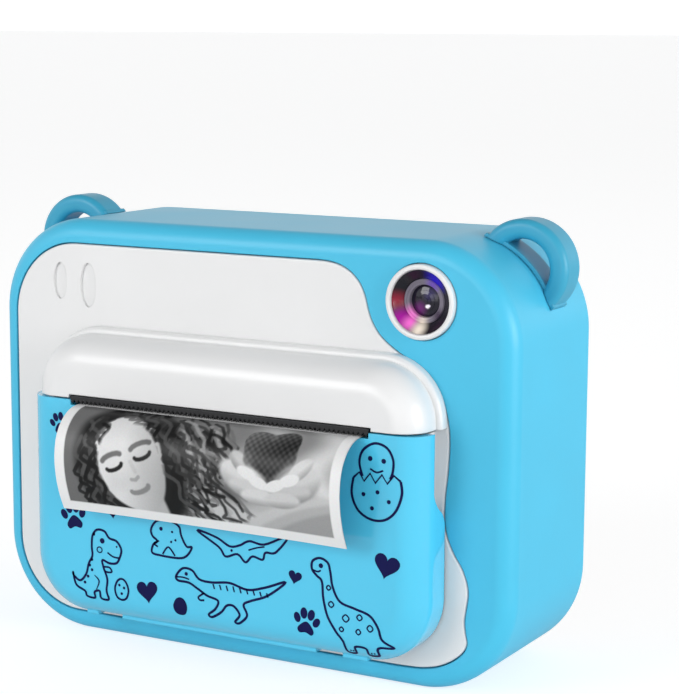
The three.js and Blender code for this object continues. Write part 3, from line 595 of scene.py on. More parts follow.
# Each doodle: centre, flip (-1 mirrors left to right), parts. Each part: kind, line width or
# dot radius, (x, z) points from the centre. "loop" is a closed curve, "ring" a closed polyline.
DOODLES = [
    # standing dinosaur
    ((-24.4, 15.6), -1, [
        ("loop", .4, [
            (-4.6, 2.2), (-5.0, 3.8), (-4.0, 5.2), (-2.4, 5.6), (-1.4, 6.7), (.2, 6.8),
            (1.2, 5.6), (1.4, 3.6), (1.3, 1.9), (2.1, .4), (2.7, -1.6), (4.0, -3.0),
            (5.4, -2.3), (5.6, -1.7), (4.9, -3.9), (3.0, -4.8), (2.6, -5.7), (.9, -5.8),
            (.9, -4.7), (-.2, -4.4), (-.5, -5.7), (-2.1, -5.7), (-1.7, -4.1), (-1.9, -2.0),
            (-1.1, .1), (-.9, 1.4), (-2.4, 1.0), (-3.9, 1.2)]),
        ("dots", .5, [(-.9, 4.9)]),
        ("curve", .3, [(-4.6, 2.2), (-3.2, 2.3), (-2.0, 2.9)]),
        ("dots", .18, [(-4.0, 4.2)]),
        ("ring", .22, ellipse(-.3, 3.2, -.55, .5, 18)),
        ("curve", .32, [(-1.2, .2), (-2.4, .2), (-2.9, -.5), (-2.1, -.7), (-1.4, -.6)]),
        ("taper", .28, [(.9, -1.6), (-.1, -2.6), (.5, -4.2)]),
        ("dots", .28, [(1.4, 1.2), (1.9, .1), (1.4, -.7), (2.3, -2.0), (3.0, -3.2), (.9, 5.9)])]),
    # long-necked dinosaur
    ((27.6, 14.0), 1, [
        ("loop", .4, [
            (-8.1, 7.2), (-8.0, 8.6), (-6.6, 9.3), (-5.1, 8.7), (-4.6, 7.2), (-4.1, 4.6),
            (-2.7, 2.3), (.1, 1.5), (2.9, .7), (4.5, -1.2), (5.2, -3.2), (6.9, -4.6),
            (4.8, -4.7), (4.1, -5.2), (3.9, -6.5), (2.3, -6.5), (2.0, -5.2), (0, -5.2),
            (-.2, -6.5), (-1.8, -6.5), (-2.2, -4.5), (-3.6, -2.8), (-5.1, -.5), (-5.9, 2.4),
            (-6.2, 5.3), (-7.2, 6.2)]),
        ("dots", .42, [(-6.4, 8.0)]),
        ("curve", .28, [(-8.0, 7.1), (-7.0, 6.9), (-6.4, 7.2)]),
        *[("loop", .24, diamond(*spot)) for spot in (
            (-4.9, 4.4, .4), (-4.4, 1.6, .5), (-1.6, -.4, .62), (1.0, .1, .5),
            (3.0, -1.5, .55), (.8, -2.4, .45), (-2.4, -2.4, .4))],
        ("dots", .16, [(-1.1, -6.1), (-.6, -6.1), (2.8, -6.1), (3.3, -6.1)])]),
    # running dinosaur
    ((3.2, 14.9), 1, [
        ("loop", .4, [
            (-11.0, 1.4), (-9.6, 2.9), (-7.7, 2.8), (-6.2, 1.4), (-3.6, 1.2), (0, 1.6),
            (3.6, .9), (7.2, 1.8), (11.2, 3.3), (7.6, .4), (4.2, -1.0), (2.8, -1.9),
            (3.5, -3.7), (1.9, -5.3), (1.0, -5.2), (2.0, -3.8), (.8, -2.4), (-.6, -2.5),
            (-1.7, -3.8), (-3.6, -5.0), (-4.3, -4.6), (-2.9, -3.4), (-2.4, -1.9),
            (-4.6, -1.3), (-6.6, -.3), (-8.4, .5), (-10.6, .6)]),
        ("dots", .34, [(-8.9, 2.0)]),
        ("curve", .26, [(-11.0, 1.2), (-9.6, 1.3), (-8.3, 1.1)]),
        ("curve", .32, [(-5.2, -.9), (-6.4, -1.8), (-6.0, -2.3), (-5.2, -2.2)]),
        *[("line", .26, [(-3.4 + k * 1.35, 1.1 - abs(k - 3) * .05), (-3.1 + k * 1.35, .1)])
          for k in range(9)]]),
    # seated baby dinosaur
    ((-9.4, 22.4), 1, [
        ("loop", .38, [
            (-3.6, 1.6), (-2.4, 3.2), (0, 3.6), (2.2, 2.8), (2.7, 1.2), (3.8, -.6), (4.9, -.6),
            (3.9, -2.2), (2.2, -2.9), (-1.6, -2.9), (-3.4, -2.6), (-3.2, -1.2), (-2.3, -.4),
            (-3.3, .4)]),
        ("dots", .36, [(-1.5, 1.9)]),
        ("curve", .3, [(-1.9, -.3), (-3.0, -.9), (-2.2, -1.4)]),
        ("curve", .3, [(-1.2, -2.6), (0, -1.2), (1.4, -2.6)]),
        ("dots", .22, [(.8, 1.6), (1.5, .2), (.6, -.2)])]),
    # flying reptile
    ((6.2, 24.0), 1, [
        ("loop", .38, [
            (-9.6, 1.0), (-5.6, .2), (-3.0, -1.0), (-1.0, -.6), (1.0, .4), (4.0, .2),
            (8.6, 2.2), (6.2, -.9), (4.2, -1.2), (3.6, -2.5), (1.6, -2.2), (.2, -3.4),
            (-1.4, -2.2), (-3.8, -2.9), (-5.2, -1.4)]),
        ("dots", .24, [(-2.6, -1.7)]),
        ("curve", .26, [(4.0, -.2), (2.4, -.6), (.8, -1.2)])]),
    # hatchling in a cracked egg
    ((31.6, 37.6), 1, [
        ("curve", .4, [(-4.3, .2), (-4.6, -2.6), (-3.4, -5.2), (-1.0, -6.5), (1.6, -6.3),
                       (3.6, -4.6), (4.6, -1.8), (4.4, .4)]),
        ("line", .36, [(-4.3, .2), (-3.2, 1.2), (-2.3, -.2), (-1.2, 1.2), (-.2, -.3),
                       (1.0, 1.2), (2.0, -.2), (3.2, 1.3), (4.4, .4)]),
        ("curve", .4, [(-2.6, .6), (-3.2, 2.9), (-2.5, 5.0), (-.4, 6.3), (1.8, 5.8),
                       (3.0, 4.0), (3.0, 2.0), (2.5, .6)]),
        ("dots", .42, [(-1.2, 3.7), (1.3, 3.5)]),
        ("curve", .3, [(-1.2, 2.0), (0, 1.5), (1.2, 1.9)]),
        ("dots", .36, [(-2.4, -2.4), (.2, -1.8), (2.3, -3.2), (-.8, -4.6)])]),
    # spotted egg
    ((-19.4, 12.1), 1, [
        ("loop", .36, [(1.45, 0), (.95, 1.45), (0, 2.0), (-.95, 1.45), (-1.45, 0),
                       (-1.0, -1.4), (0, -1.85), (1.0, -1.4)]),
        ("dots", .26, [(-.5, .8), (.5, .4), (0, -.7)])]),
]
SOLID_EGG = [(1.45, 0), (.95, 1.25), (0, 1.7), (-.95, 1.25), (-1.45, 0), (-1.0, -1.2),
             (0, -1.55), (1.0, -1.2)]
# x, z, size, tilt
HEARTS = [(-13.9, 12.7, 2.2, 8), (16.2, 19.4, 1.3, -10), (33.6, 23.7, 2.35, -12),
          (-21.2, 26.4, 1.5, 6)]
PAWS = [(-29.6, 23.9, 1.6, 10), (18.4, 11.4, 1.5, -8), (-32.4, 40.6, 1.2, 14)]
# toes: x, z, half width, half height, tilt
SOLID_TOES = [(-1.25, .55, .42, .6, 25), (-.48, 1.25, .45, .66, 8), (.48, 1.25, .45, .66, -8),
              (1.25, .55, .42, .6, -25)]
SOLID_PAD = [(0, .35), (-.6, 0), (-1.05, -.65), (-.75, -1.15), (0, -.95), (.75, -1.15),
             (1.05, -.65), (.6, 0)]


def draw_doodle(pen, centre, flip, parts):
    for kind, size, points in parts:
        spots = place(points, *centre, flip=flip)
        if kind == "dots":
            for x, z in spots:
                pen.dot(x, z, size)
        elif kind in ("line", "ring"):
            pen.line(spots, size, closed=kind == "ring")
        else:
            closed = kind == "loop"
            pen.line(spline(spots, closed=closed), size, closed, taper=kind == "taper")


def heart(x, z, size, tilt):
    turns = [2 * pi * i / 36 for i in range(36)]
    return place([(sin(t) ** 3,
                   (13 * cos(t) - 5 * cos(2 * t) - 2 * cos(3 * t) - cos(4 * t)) / 16)
                  for t in turns], x, z, size, tilt)


def paw(toes, pad, x, z, size, tilt):
    """Placed toes, as arguments of an ellipse or dot, and the placed pad outline."""
    placed = [(*place([(tx, tz)], x, z, size, tilt)[0], a * size, b * size, lean + tilt)
              for tx, tz, a, b, lean in toes]
    return placed, place(spline(pad, 5, True), x, z, size, tilt)


ink = Drawing(door_surface, lift=0.045, side=-1, bold=1.08)
for doodle in DOODLES:
    draw_doodle(ink, *doodle)
ink.fill(place(spline(SOLID_EGG, 5, True), -7, 10.8))
for spot in HEARTS:
    ink.fill(heart(*spot))
for spot in PAWS:
    toes, pad = paw(SOLID_TOES, SOLID_PAD, *spot)
    for toe in toes:
        ink.dot(*toe)
    ink.fill(pad)
ink.make("door_doodles", INK, "door")


# ---------------------------------------------------------------- painted pictures
def smooth(a, b, x):
    t = np.clip((x - a) / (b - a), 0, 1)
    return t * t * (3 - 2 * t)


class Picture:
    """Colour grid on a sheet, with x and y in millimetres from its bottom left corner."""

    def __init__(self, width, height, columns, rows):
        self.width, self.height = width, height
        self.x, self.y = np.meshgrid(np.linspace(0, width, columns),
                                     np.linspace(0, height, rows))
        self.image = np.zeros((rows, columns, 3))

    def paint(self, mask, colour):
        mask = np.clip(mask, 0, 1)[..., None]
        self.image = self.image * (1 - mask) + np.asarray(colour, float) * mask

    def turned(self, cx, cy, tilt):
        c, s = cos(radians(tilt)), sin(radians(tilt))
        dx, dy = self.x - cx, self.y - cy
        return dx * c + dy * s, -dx * s + dy * c

    def oval(self, cx, cy, a, b, tilt=0, edge=0.12):
        """Soft mask, and the place across and up the oval from -1 to 1."""
        u, v = self.turned(cx, cy, tilt)
        return 1 - smooth(1 - edge, 1 + edge, np.sqrt((u / a) ** 2 + (v / b) ** 2)), u / a, v / b

    def heart(self, cx, cy, size, tilt):
        u, v = (way / size for way in self.turned(cx, cy, tilt))
        value = (u * u + (v * 1.1) ** 2 - 0.62) ** 3 - u * u * (v * 1.1) ** 3 * 1.6
        return 1 - smooth(-0.02, 0.05, value), u, v

    def stroke(self, path, width):
        nearest = np.full(self.x.shape, 1e9)
        for (ax, ay), (bx, by) in zip(path[:-1], path[1:]):
            dx, dy = bx - ax, by - ay
            t = np.clip(((self.x - ax) * dx + (self.y - ay) * dy)
                        / (dx * dx + dy * dy + 1e-12), 0, 1)
            nearest = np.minimum(nearest, np.hypot(self.x - ax - t * dx, self.y - ay - t * dy))
        return 1 - smooth(width * 0.5, width * 0.5 + width * 0.6, nearest)


def arch(u, v, wide, high, count=7, start=0):
    return [(u + wide * cos(a), v + high * sin(a)) for a in np.linspace(start, pi - start, count)]


def paint_head(picture, cx, cy, size, tilt, skin, hair, long_hair, seed):
    """Calm generic child's head: eyes half way down, nose and mouth evenly below."""
    skin, hair = np.array(skin), np.array(hair)
    warm = skin[0] > skin[2] + 0.02         # a grey picture gets grey cheeks and lips
    c, s = cos(radians(tilt)), sin(radians(tilt))
    rng = np.random.RandomState(seed)

    def spot(u, v):
        return cx + size * (u * c - v * s), cy + size * (u * s + v * c)

    def oval(u, v, wide, high, edge):
        return picture.oval(*spot(u, v), wide * size, high * size, tilt, edge)

    def brush(path, width, strength, colour):
        mask = picture.stroke([spot(*point) for point in path], width * size)
        picture.paint(mask * strength, colour)

    if long_hair:
        picture.paint(oval(0, -.1, 1.35, 1.6, .12)[0], hair * .75)
    picture.paint(oval(0, .12 if long_hair else .16, 1.12, 1.3, .06)[0], hair)
    neck = oval(0, -.8, .44, .95, .12)[0]
    picture.paint(neck, skin * .78)
    face, u, v = oval(0, 0, .86, 1.12, .04)
    light = 1.0 - .28 * np.clip(u * .7 - v * .5 + .2, 0, 1.4)
    picture.paint(face, skin * light[..., None])
    for side in (-1, 1):                    # cheek, closed eye and brow
        cheek = oval(.44 * side, -.28, .26, .2, .8)[0]
        picture.paint(cheek * .28 * face, skin * ([1.0, .62, .58] if warm else .8))
        brush(arch(.38 * side, .06, .2, -.07), .055, .9, hair * .35)
        brush(arch(.38 * side, .25, .24, .07, 6, .2), .07, .6, hair * .6)
    brush([(-.1, -.33), (0, -.37), (.1, -.33)], .05, .55, skin * .5)    # nose tip
    brush([(.05, .02), (.08, -.2)], .06, .2, skin * .6)                 # nose bridge
    brush(arch(0, -.58, .24, -.07), .07, .75, skin * ([.75, .4, .4] if warm else .45))
    if long_hair:                           # wavy strands, kept off the face and neck
        clear = (1 - oval(0, -.1, .8, 1.0, .06)[0]) * (1 - neck)
        for _ in range(64):
            angle = rng.uniform(-.35, pi + .35)
            reach = rng.uniform(.88, 1.42)
            length = rng.uniform(.5, 1.1)
            phase = rng.uniform(0, 6)
            root = cos(angle) * reach * .95
            drop = length * (1.2 if abs(cos(angle)) > .35 else .35)
            path = [(root + .1 * sin(phase + t * 11) + .2 * t * np.sign(root),
                     sin(angle) * reach * 1.12 - t * drop) for t in np.linspace(0, 1, 12)]
            brush(path, .055, .75 * clear, hair * rng.choice([.35, .6, 1.5, 2.1, 2.7]))
    else:                                   # fringe of short strands
        picture.paint(oval(0, .98, .82, .36, .1)[0], hair)
        for _ in range(34):
            root = rng.uniform(-.85, .85)
            path = [(root * .9 + .45 * t,
                     1.30 - .3 * abs(root) - .34 * t * (1 - .3 * abs(root)))
                    for t in np.linspace(0, 1, 5)]
            brush(path, .06, .4, hair * rng.choice([.7, .85, 1.2, 1.35]))


# ovals of two cupped hands: x, y, half width, half height, tilt
HANDS = [(-1.05, -.45, 1.0, .55, -28), (1.05, -.45, 1.0, .55, 28), (-1.15, .1, .55, .26, -42),
         (1.15, .1, .55, .26, 42), (-.85, -.75, .75, .3, -14), (.85, -.75, .75, .3, 14),
         (-.45, -1.0, .7, .28, -4), (.45, -1.0, .7, .28, 4)]


def paint_hands(picture, cx, cy, size, skin):
    for k, (x, y, a, b, tilt) in enumerate(HANDS):
        mask, _, v = picture.oval(cx + x * size, cy + y * size, a * size, b * size, tilt, .14)
        shade = 1.0 - .3 * np.clip(-v, 0, 1) - .05 * (k % 3)
        picture.paint(mask, np.array(skin) * shade[..., None])


def paint_print():
    """Grey picture of a long-haired child with hands round a heart, in a white margin."""
    pic = Picture(2 * PAPER_HALF, 21.5, 360, 136)
    X, Y = pic.x, pic.y
    pic.image += (.30 + .25 * smooth(20, 57, X)
                  + .12 * np.sin(X * .5 + np.sin(Y * .6)) * smooth(28, 50, X))[..., None]
    pic.paint(pic.oval(30, -2, 21, 9, -6, .2)[0] * .9, .62)
    rng = np.random.RandomState(4)
    for _ in range(90):                     # loose strands behind the head
        x0, y0 = rng.uniform(17, 34), rng.uniform(6, 21)
        phase = rng.uniform(0, 6)
        path = [(x0 + t * rng.uniform(5, 9) * .9 + sin(phase + t * 7),
                 y0 - t * 7 + .8 * cos(phase + t * 8)) for t in np.linspace(0, 1, 9)]
        pic.paint(pic.stroke(path, .38) * .7, rng.choice([.03, .06, .12, .3, .5]))
    paint_head(pic, 15.5, 10.6, 8.2, tilt=24, skin=(.70,) * 3, hair=(.085,) * 3,
               long_hair=True, seed=7)
    for k in range(3):                      # sleeve folds
        pic.paint(pic.oval(47 + 2.2 * k, 4.2 - k, 11, 3.0, 22, .15)[0], .60 - .07 * k)
    paint_hands(pic, 43.6, 12.6, 5.0, .66)
    mask, u, v = pic.heart(43.2, 14.6, 5.3, 6)
    texture = (.13 + .06 * np.sin(X * 5.2) * np.sin(Y * 4.7)
               + .16 * np.clip(u * -.5 + v * .8, 0, 1))
    pic.paint(mask, texture[..., None])
    for dx, dy in ((-4.3, -2.6), (-2.0, -4.0), (1.2, -4.2), (4.0, -3.0)):   # fingertips
        pic.paint(pic.oval(43.4 + dx, 14.2 + dy, 2.0, .95, 20 * np.sign(dx), .15)[0], .72)
    pic.image = np.clip((pic.image - .05) * 1.30, 0, 1) ** 1.7              # contrast
    pic.image *= (.97 + .06 * np.random.RandomState(2).rand(*X.shape))[..., None]
    margin = 1.9
    edge = np.minimum(np.minimum(X - margin, pic.width - margin - X), Y - margin)
    pic.paint(1 - smooth(-.05, .12, edge), .86)
    return pic


def paint_screen():
    """Two children outdoors holding a red heart."""
    pic = Picture(51.4, 38.0, 330, 244)
    X, Y = pic.x, pic.y
    rise = smooth(6, 38, Y)[..., None]
    pic.image = (1 - rise) * np.array([.30, .34, .12]) + rise * np.array([.62, .66, .36])
    for x, y, r, colour in (            # blurred background spots
            (6, 34, 6, (.9, .8, .5)), (25, 35, 5, (.75, .78, .45)),
            (46, 33, 7, (.55, .62, .32)), (2, 24, 5, (.35, .45, .16)),
            (49, 24, 5, (.42, .5, .22))):
        pic.paint(pic.oval(x, y, r, r, 0, .5)[0] * .6, colour)
    # plain and checked clothes
    pic.paint(pic.oval(12, 9, 14, 11, 8, .08)[0], (.66, .36, .40))
    check = .5 + .5 * np.sign(np.sin(X * 2.4 + Y * .5)) * np.sign(np.sin(Y * 2.4 - X * .5))
    pic.paint(pic.oval(39.5, 11, 14, 12, -6, .06)[0],
              np.array([.60, .66, .76]) * (.72 + .28 * check)[..., None])
    paint_head(pic, 14.6, 23.2, 7.6, tilt=14, skin=(.86, .58, .42), hair=(.13, .05, .022),
               long_hair=True, seed=3)
    paint_head(pic, 34.8, 25.2, 7.2, tilt=-16, skin=(.90, .62, .46), hair=(.50, .32, .13),
               long_hair=False, seed=5)
    # pale band along the bottom, then forearms
    pic.paint(1 - smooth(5.2, 6.0, Y - .6 * np.sin(X * .1)), (.62, .50, .38))
    pic.paint((1 - smooth(2.5, 5.6, Y)) * .5, (.80, .70, .58))
    pic.paint(pic.oval(8.5, 8.0, 9.5, 2.7, 8)[0], (.84, .56, .40))
    pic.paint(pic.oval(42.5, 8.2, 9.5, 2.7, -8)[0], (.88, .60, .44))
    paint_hands(pic, 25.4, 8.6, 3.9, (.88, .60, .45))
    mask, u, v = pic.heart(25.6, 10.6, 4.1, -4)
    shade = .65 + .5 * np.clip(.2 - u * .5 + v * .6, 0, 1)
    pic.paint(mask, np.array([.80, .03, .02]) * shade[..., None])
    pic.paint(pic.oval(24.0, 11.8, .8, .45, 30, .5)[0] * .7, (1, .75, .7))
    pic.image = np.clip(pic.image, 0, 1)
    return pic


def colour_sheet(name, spot, image, surface, body, flip=False):
    """Sheet with a point for each colour of the image, placed by spot(u, v)."""
    rows, columns, _ = image.shape
    points = [spot(i / (columns - 1), j / (rows - 1)) for j in range(rows) for i in range(columns)]
    index = np.arange(rows * columns).reshape(rows, columns)
    faces = np.stack([index[:-1, :-1], index[:-1, 1:], index[1:, 1:], index[1:, :-1]], -1)
    faces = faces.reshape(-1, 4)
    if flip:
        faces = faces[:, ::-1]
    made = raw_mesh(name, points, faces.tolist())
    colours = made.data.color_attributes.new("Col", "FLOAT_COLOR", "POINT")
    rgba = np.concatenate([image.reshape(-1, 3), np.ones((rows * columns, 1))], 1)
    colours.data.foreach_set("color", rgba.astype(np.float32).ravel())
    made.data.materials.append(surface)
    made.data.shade_smooth()
    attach(made, body)
    return made


# ---------------------------------------------------------------- printed strip and roll
# (y, z) knots from inside the slot, over the tear bar and down in front of the door
STRIP = spline([(-20.2, 44.68), (-22.8, 44.68), (-25.3, 44.6), (-27.6, 44.0), (-29.7, 42.4),
                (-31.1, 39.9), (-31.5, 36.5), (-31.0, 33), (-29.9, 29.6), (-28.6, 26.8)], 14)
travel = [0.0]
for p, q in zip(STRIP[:-1], STRIP[1:]):
    travel.append(travel[-1] + hypot(q[0] - p[0], q[1] - p[1]))
STRIP_LENGTH = travel[-1]
BLANK = 0.84


def on_strip(distance, offset):
    """(y, z) at a distance along the strip, set off to its outer side."""
    distance = min(max(distance, 0), STRIP_LENGTH)
    k = min(max(int(np.searchsorted(travel, distance)) - 1, 0), len(STRIP) - 2)
    length = travel[k + 1] - travel[k]
    t = (distance - travel[k]) / length
    p, q = STRIP[k], STRIP[k + 1]
    dy, dz = (q[0] - p[0]) / length, (q[1] - p[1]) / length
    return p[0] + dy * length * t + dz * offset, p[1] + dz * length * t - dy * offset


def strip_point(u, distance, offset, curl=0.72):
    """Point across the strip; its side edges curl forwards towards the free end."""
    y, z = on_strip(distance, offset)
    bend = curl * abs(2 * u - 1) ** 3 * smooth(5, STRIP_LENGTH, distance)
    return -PAPER_HALF + 2 * PAPER_HALF * u, y - bend, z


printed = paint_print()
print_start = STRIP_LENGTH - printed.height
face_sheet = colour_sheet(
    "print_face", lambda u, v: strip_point(u, STRIP_LENGTH - v * printed.height, 0.07),
    printed.image, PRINT, "door")
back_sheet = colour_sheet(
    "print_back", lambda u, v: strip_point(u, STRIP_LENGTH * (1 - v), -0.07),
    np.full((60, 60, 3), BLANK), PRINT, "door", flip=True)
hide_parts("paper_print")
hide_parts("paper_print")
colour_sheet("print_lead", lambda u, v: strip_point(u, print_start * (1 - v), 0.06, curl=0),
             np.full((20, 20, 3), BLANK), PRINT, "door")

# (radius, x)
ROLL = [(6.25, -28.5), (11.75, -28.5), (11.95, -28.3), (11.95, 28.3), (11.75, 28.5), (6.25, 28.5)]
finish(revolve("paper_roll_body", ROLL, ROLL_Y, ROLL_Z, axis="X"), PAPER, "roll",
       "thermal_paper", "paper_roll")

# ---------------------------------------------------------------- lens, profiles as (radius, y)
WHITE_RING = [(5.35, -16.6), (5.5, -16.88), (5.75, -17.0), (6.0, -16.98), (6.25, -16.8),
              (6.34, -16.5), (6.34, -12.0), (5.35, -12.0)]
BEZEL = [(3.72, -14.9), (3.9, -15.15), (4.6, -15.75), (5.05, -16.35), (5.2, -16.5),
         (5.3, -16.45), (5.3, -12.0), (3.72, -12.0)]
INNER_RING = [(2.72, -14.7), (2.8, -14.9), (3.0, -15.0), (3.2, -15.0), (3.25, -15.12),
              (3.55, -15.15), (3.7, -15.0), (3.7, -12.0), (2.72, -12.0)]
LENS_GLASS = [(.0001, -15.0), (.6, -14.98), (.62, -14.9), (1.15, -14.85), (1.17, -14.75),
              (1.75, -14.65), (1.77, -14.55), (2.3, -14.4), (2.7, -14.2), (2.7, -13.0),
              (.0001, -13.0)]
finish(revolve("lens_ring_white", WHITE_RING, LENS_X, LENS_Z), WHITE, "housing",
       "white_shell", "lens_ring")


def painted_reflection_material(name, colour, reflection_spots, rough, glow=0.45, coat=0.2):
    """Dark surface with soft spots of painted reflection and highlight, which also glow by emission:
    x and z from the lens centre, radius, colour.
    """
    made = material(name, colour, rough=rough, coat=coat, coat_rough=0.04, vary=0.1, bump=0.0,
                    bevel=0)
    tree = made.node_tree
    principled = tree.nodes["Principled BSDF"]
    spot = add_node(tree, "TexCoord").outputs["Object"]
    parts = add_node(tree, "SeparateXYZ", {"Vector": spot}).outputs
    flat = add_node(tree, "CombineXYZ", {"X": parts["X"], "Z": parts["Z"]}).outputs["Vector"]
    mixed = principled.inputs["Base Color"].links[0].from_socket
    for x, z, radius, reflection_colour in reflection_spots:
        centre = ((LENS_X + x) * MM, 0, (LENS_Z + z) * MM)
        away = add_node(tree, "VectorMath", {0: flat, 1: centre}, operation="DISTANCE")
        fade = add_node(tree, "MapRange", {
            "Value": away.outputs["Value"], "From Min": radius * MM, "From Max": 0},
            interpolation_type="SMOOTHSTEP")
        mixed = add_node(tree, "Mix", {
            "Factor": fade.outputs["Result"], "A": mixed, "B": (*reflection_colour, 1)},
            data_type="RGBA").outputs["Result"]
    set_inputs(tree, principled, {"Base Color": mixed, "Emission Color": mixed,
                                  "Emission Strength": glow, "Specular IOR Level": 0.2})
    return made


# painted reflections: coloured spots on the cone and inner ring, a dark painted reflection at the
# ring's lower right, and two white painted highlights on the glass, all glowing by emission
CONE = painted_reflection_material("lens cone", (.008, .008, .012), [
    (2.4, 3.6, 3.0, (.012, .006, .40)), (-4.7, -.1, 2.4, (.20, .008, .025)),
    (-3.8, -2.8, 2.3, (.28, .005, .24)), (-2.3, -3.7, 1.9, (.72, .13, .52)),
    (-.5, -4.6, 2.0, (.72, .64, .54))], rough=0.25)
RING = painted_reflection_material("lens inner ring", (.15, .135, .17), [
    (1.6, 2.8, 2.0, (.12, .06, .34)), (-2.2, -2.4, 2.4, (.66, .15, .48)),
    (-.3, -3.4, 1.6, (.60, .52, .45)), (2.6, -2.2, 2.0, (.04, .025, .05))],
    rough=0.3, glow=0.3)
GLASS = painted_reflection_material("lens glass", (.006, .005, .012), [
    (-.8, -1.2, 1.7, (.09, .008, .10)), (.9, 1.2, 1.6, (.02, .015, .07)),
    (.5, -.9, .5, (1, .96, 1)), (.8, -.75, .35, (.9, .85, 1))],
    rough=0.05, glow=0.5, coat=0.6)
finish(revolve("lens_bezel_black", BEZEL, LENS_X, LENS_Z), CONE, "housing", "black_plastic",
       "lens_bezel")
finish(revolve("lens_ring_inner", INNER_RING, LENS_X, LENS_Z), RING, "housing",
       "grey_plastic", "lens_inner_ring")
finish(revolve("lens_front_glass", LENS_GLASS, LENS_X, LENS_Z, 64), GLASS, "housing",
       "dark_glass", "lens_element", angle=50)

# ---------------------------------------------------------------- back cover and panel
# x, z, width, height, lean (rise towards +X), widening towards the top
KEYS = {
    "shutter": (-41, 54.6, 8.0, 9.4, 0, .2),
    "power": (-40.9, 38.8, 8.2, 6.4, .35, -.12),
    "ok": (-41, 31.0, 8.0, 6.4, .35, .096),
    "up": (-40.9, 21.7, 8.2, 6.4, .35, -.12),
    "down": (-40.9, 13.9, 8.0, 6.4, .35, .096),
}
PIN_HOLES = [(-37.9, 63.1), (-42.6, 63.1), (42.1, 13.2)]
BADGE = spline([(37.9, 71.0), (40.2, 69.6), (43.2, 68.9), (44.4, 66.3), (43.9, 64.4),
                (44.4, 62.2), (43.2, 60.1), (41.8, 58.6), (39.4, 57.3), (36.4, 57.9),
                (33.4, 58.9), (32.2, 61.2), (32.6, 63.6), (32.1, 66.6), (33.5, 69.1),
                (35.6, 69.6)], closed=True)
BADGE_PADS = [
    ellipse(37.9, 68.3, 1.75, 1.9), ellipse(41.6, 66.0, 1.75, 1.85),
    ellipse(34.6, 66.9, 1.5, 1.6), ellipse(42.0, 62.4, 1.55, 1.65),
    spline([(37.9, 65.0), (35.8, 64.2), (34.3, 62.3), (34.7, 60.7), (36.6, 60.1), (38.7, 59.3),
            (40.3, 60.2), (40.2, 62.3), (39.4, 64.2)], closed=True)]


def key_outline(key, grow=0.0, count=72):
    x, z, width, height, lean, widen = key
    turns = [2 * pi * i / count for i in range(count)]
    return [(x + cos(t) * (width / 2 + grow) * (1 + widen * sin(t)),
             z + sin(t) * (height / 2 + grow) + lean * cos(t)) for t in turns]


def cut_key_holes(part):
    for key in KEYS.values():
        cut(part, plate("cutter", key_outline(key, 0.28), 10, 20))


def cut_pin_holes(part, holes):
    for x, z in holes:
        cut(part, rod_y(0.5, 10, 20, x, z, 24))


cover = body_slab("rear_cover_plate", -4.25, 13.7, BODY_BACK, 0, 0.35)
cut(cover, plate("cutter", inset(REAR, -0.2), 14.7, 20),
    rounded_slab("cutter", -27.05, 29.75, 11.8, 56.2, 1, 10, 20, count=4))
cut_key_holes(cover)
cut_pin_holes(cover, [(28, 67.8)] + PIN_HOLES)
finish(cover, BLUE, "housing", "blue_shell", "rear_cover")

rear = plate("rear_wave_panel", REAR, 14.75, BODY_BACK, 0, 0.3)
cut(rear, rounded_slab("cutter", -29.95, 32.65, 9.2, 58.8, 7, 10, 20, count=14),
    plate("cutter", inset(BADGE, -0.15), 10, 20))
cut_key_holes(rear)
cut_pin_holes(rear, PIN_HOLES)
finish(rear, WHITE, "housing", "white_shell", "rear_panel")

finish(plate("paw_badge_plate", BADGE, 15.2, 16.6, 0, 0.5), BLUE, "housing", "blue_shell",
       "paw_badge")
for i, outline in enumerate(BADGE_PADS):
    finish(plate("paw_pad_%d" % i, outline, BODY_BACK, 16.85, 0, 0.35), WHITE, "housing",
           "white_shell", "paw_pads")

# ---------------------------------------------------------------- screen
bezel = rounded_slab("screen_bezel_ring", -29.75, 32.45, 9.4, 58.6, 6.9, 14.8, 16.9, 0, 0.5, 20)
cut(bezel, rounded_slab("cutter", -28.8, 31.5, 10.3, 57.7, 6, 10, 20, count=20))
finish(bezel, WHITE, "housing", "white_shell", "screen_bezel")
finish(rounded_slab("screen_glass", -28.65, 31.35, 10.45, 57.55, 5.9, 14.8, 16.6, 0, 0.3, 20),
       SCREEN, "housing", "dark_glass", "screen_window")
shown = paint_screen()
colour_sheet("screen_picture",
             lambda u, v: (27.1 - shown.width * u, 16.63, 14.9 + shown.height * v),
             shown.image, LCD, "housing")

# ---------------------------------------------------------------- keys
KEY_SHOULDER, KEY_RISE, KEY_ROUND = 16.2, 1.2, 1.35
KEY_TOP = KEY_SHOULDER + KEY_RISE
# (inset, y): a flange inside the cover, the straight side, then the rounded top edge
KEY_STEPS = [(-.7, 12.6), (-.7, 13.4), (0, 13.45), (0, KEY_SHOULDER)] + [
    (KEY_ROUND * (1 - cos(radians(a))), KEY_SHOULDER + KEY_RISE * sin(radians(a)))
    for a in range(15, 91, 15)]


def draw_icon(pen, name, x, z, width=0.34):
    if name == "shutter":                   # camera
        z += 0.7
        pen.line(rounded_rect(x - 1.7, x + 1.7, z - 1.15, z + 1.0, .35, 4), width, True)
        pen.line(ellipse(x, z - .1, .72, .72, 24), width, True)
        pen.line([(x - .6, z + 1.05), (x - .35, z + 1.45), (x + .35, z + 1.45),
                  (x + .6, z + 1.05)], width)
    elif name == "power":                   # broken ring and bar
        pen.line(arc(x, z - .1, 1.35, 125, 415, 30), width)
        pen.line([(x, z + .1), (x, z + 1.6)], width)
    elif name == "ok":                      # tick
        pen.line([(x + 1.5, z + .1), (x + .45, z - 1.0), (x - 1.5, z + 1.2)], .42)
    else:                                   # triangle
        way = 1 if name == "up" else -1
        pen.line([(x - 1.45, z - .85 * way), (x, z + 1.25 * way), (x + 1.45, z - .85 * way)],
                 width, True)


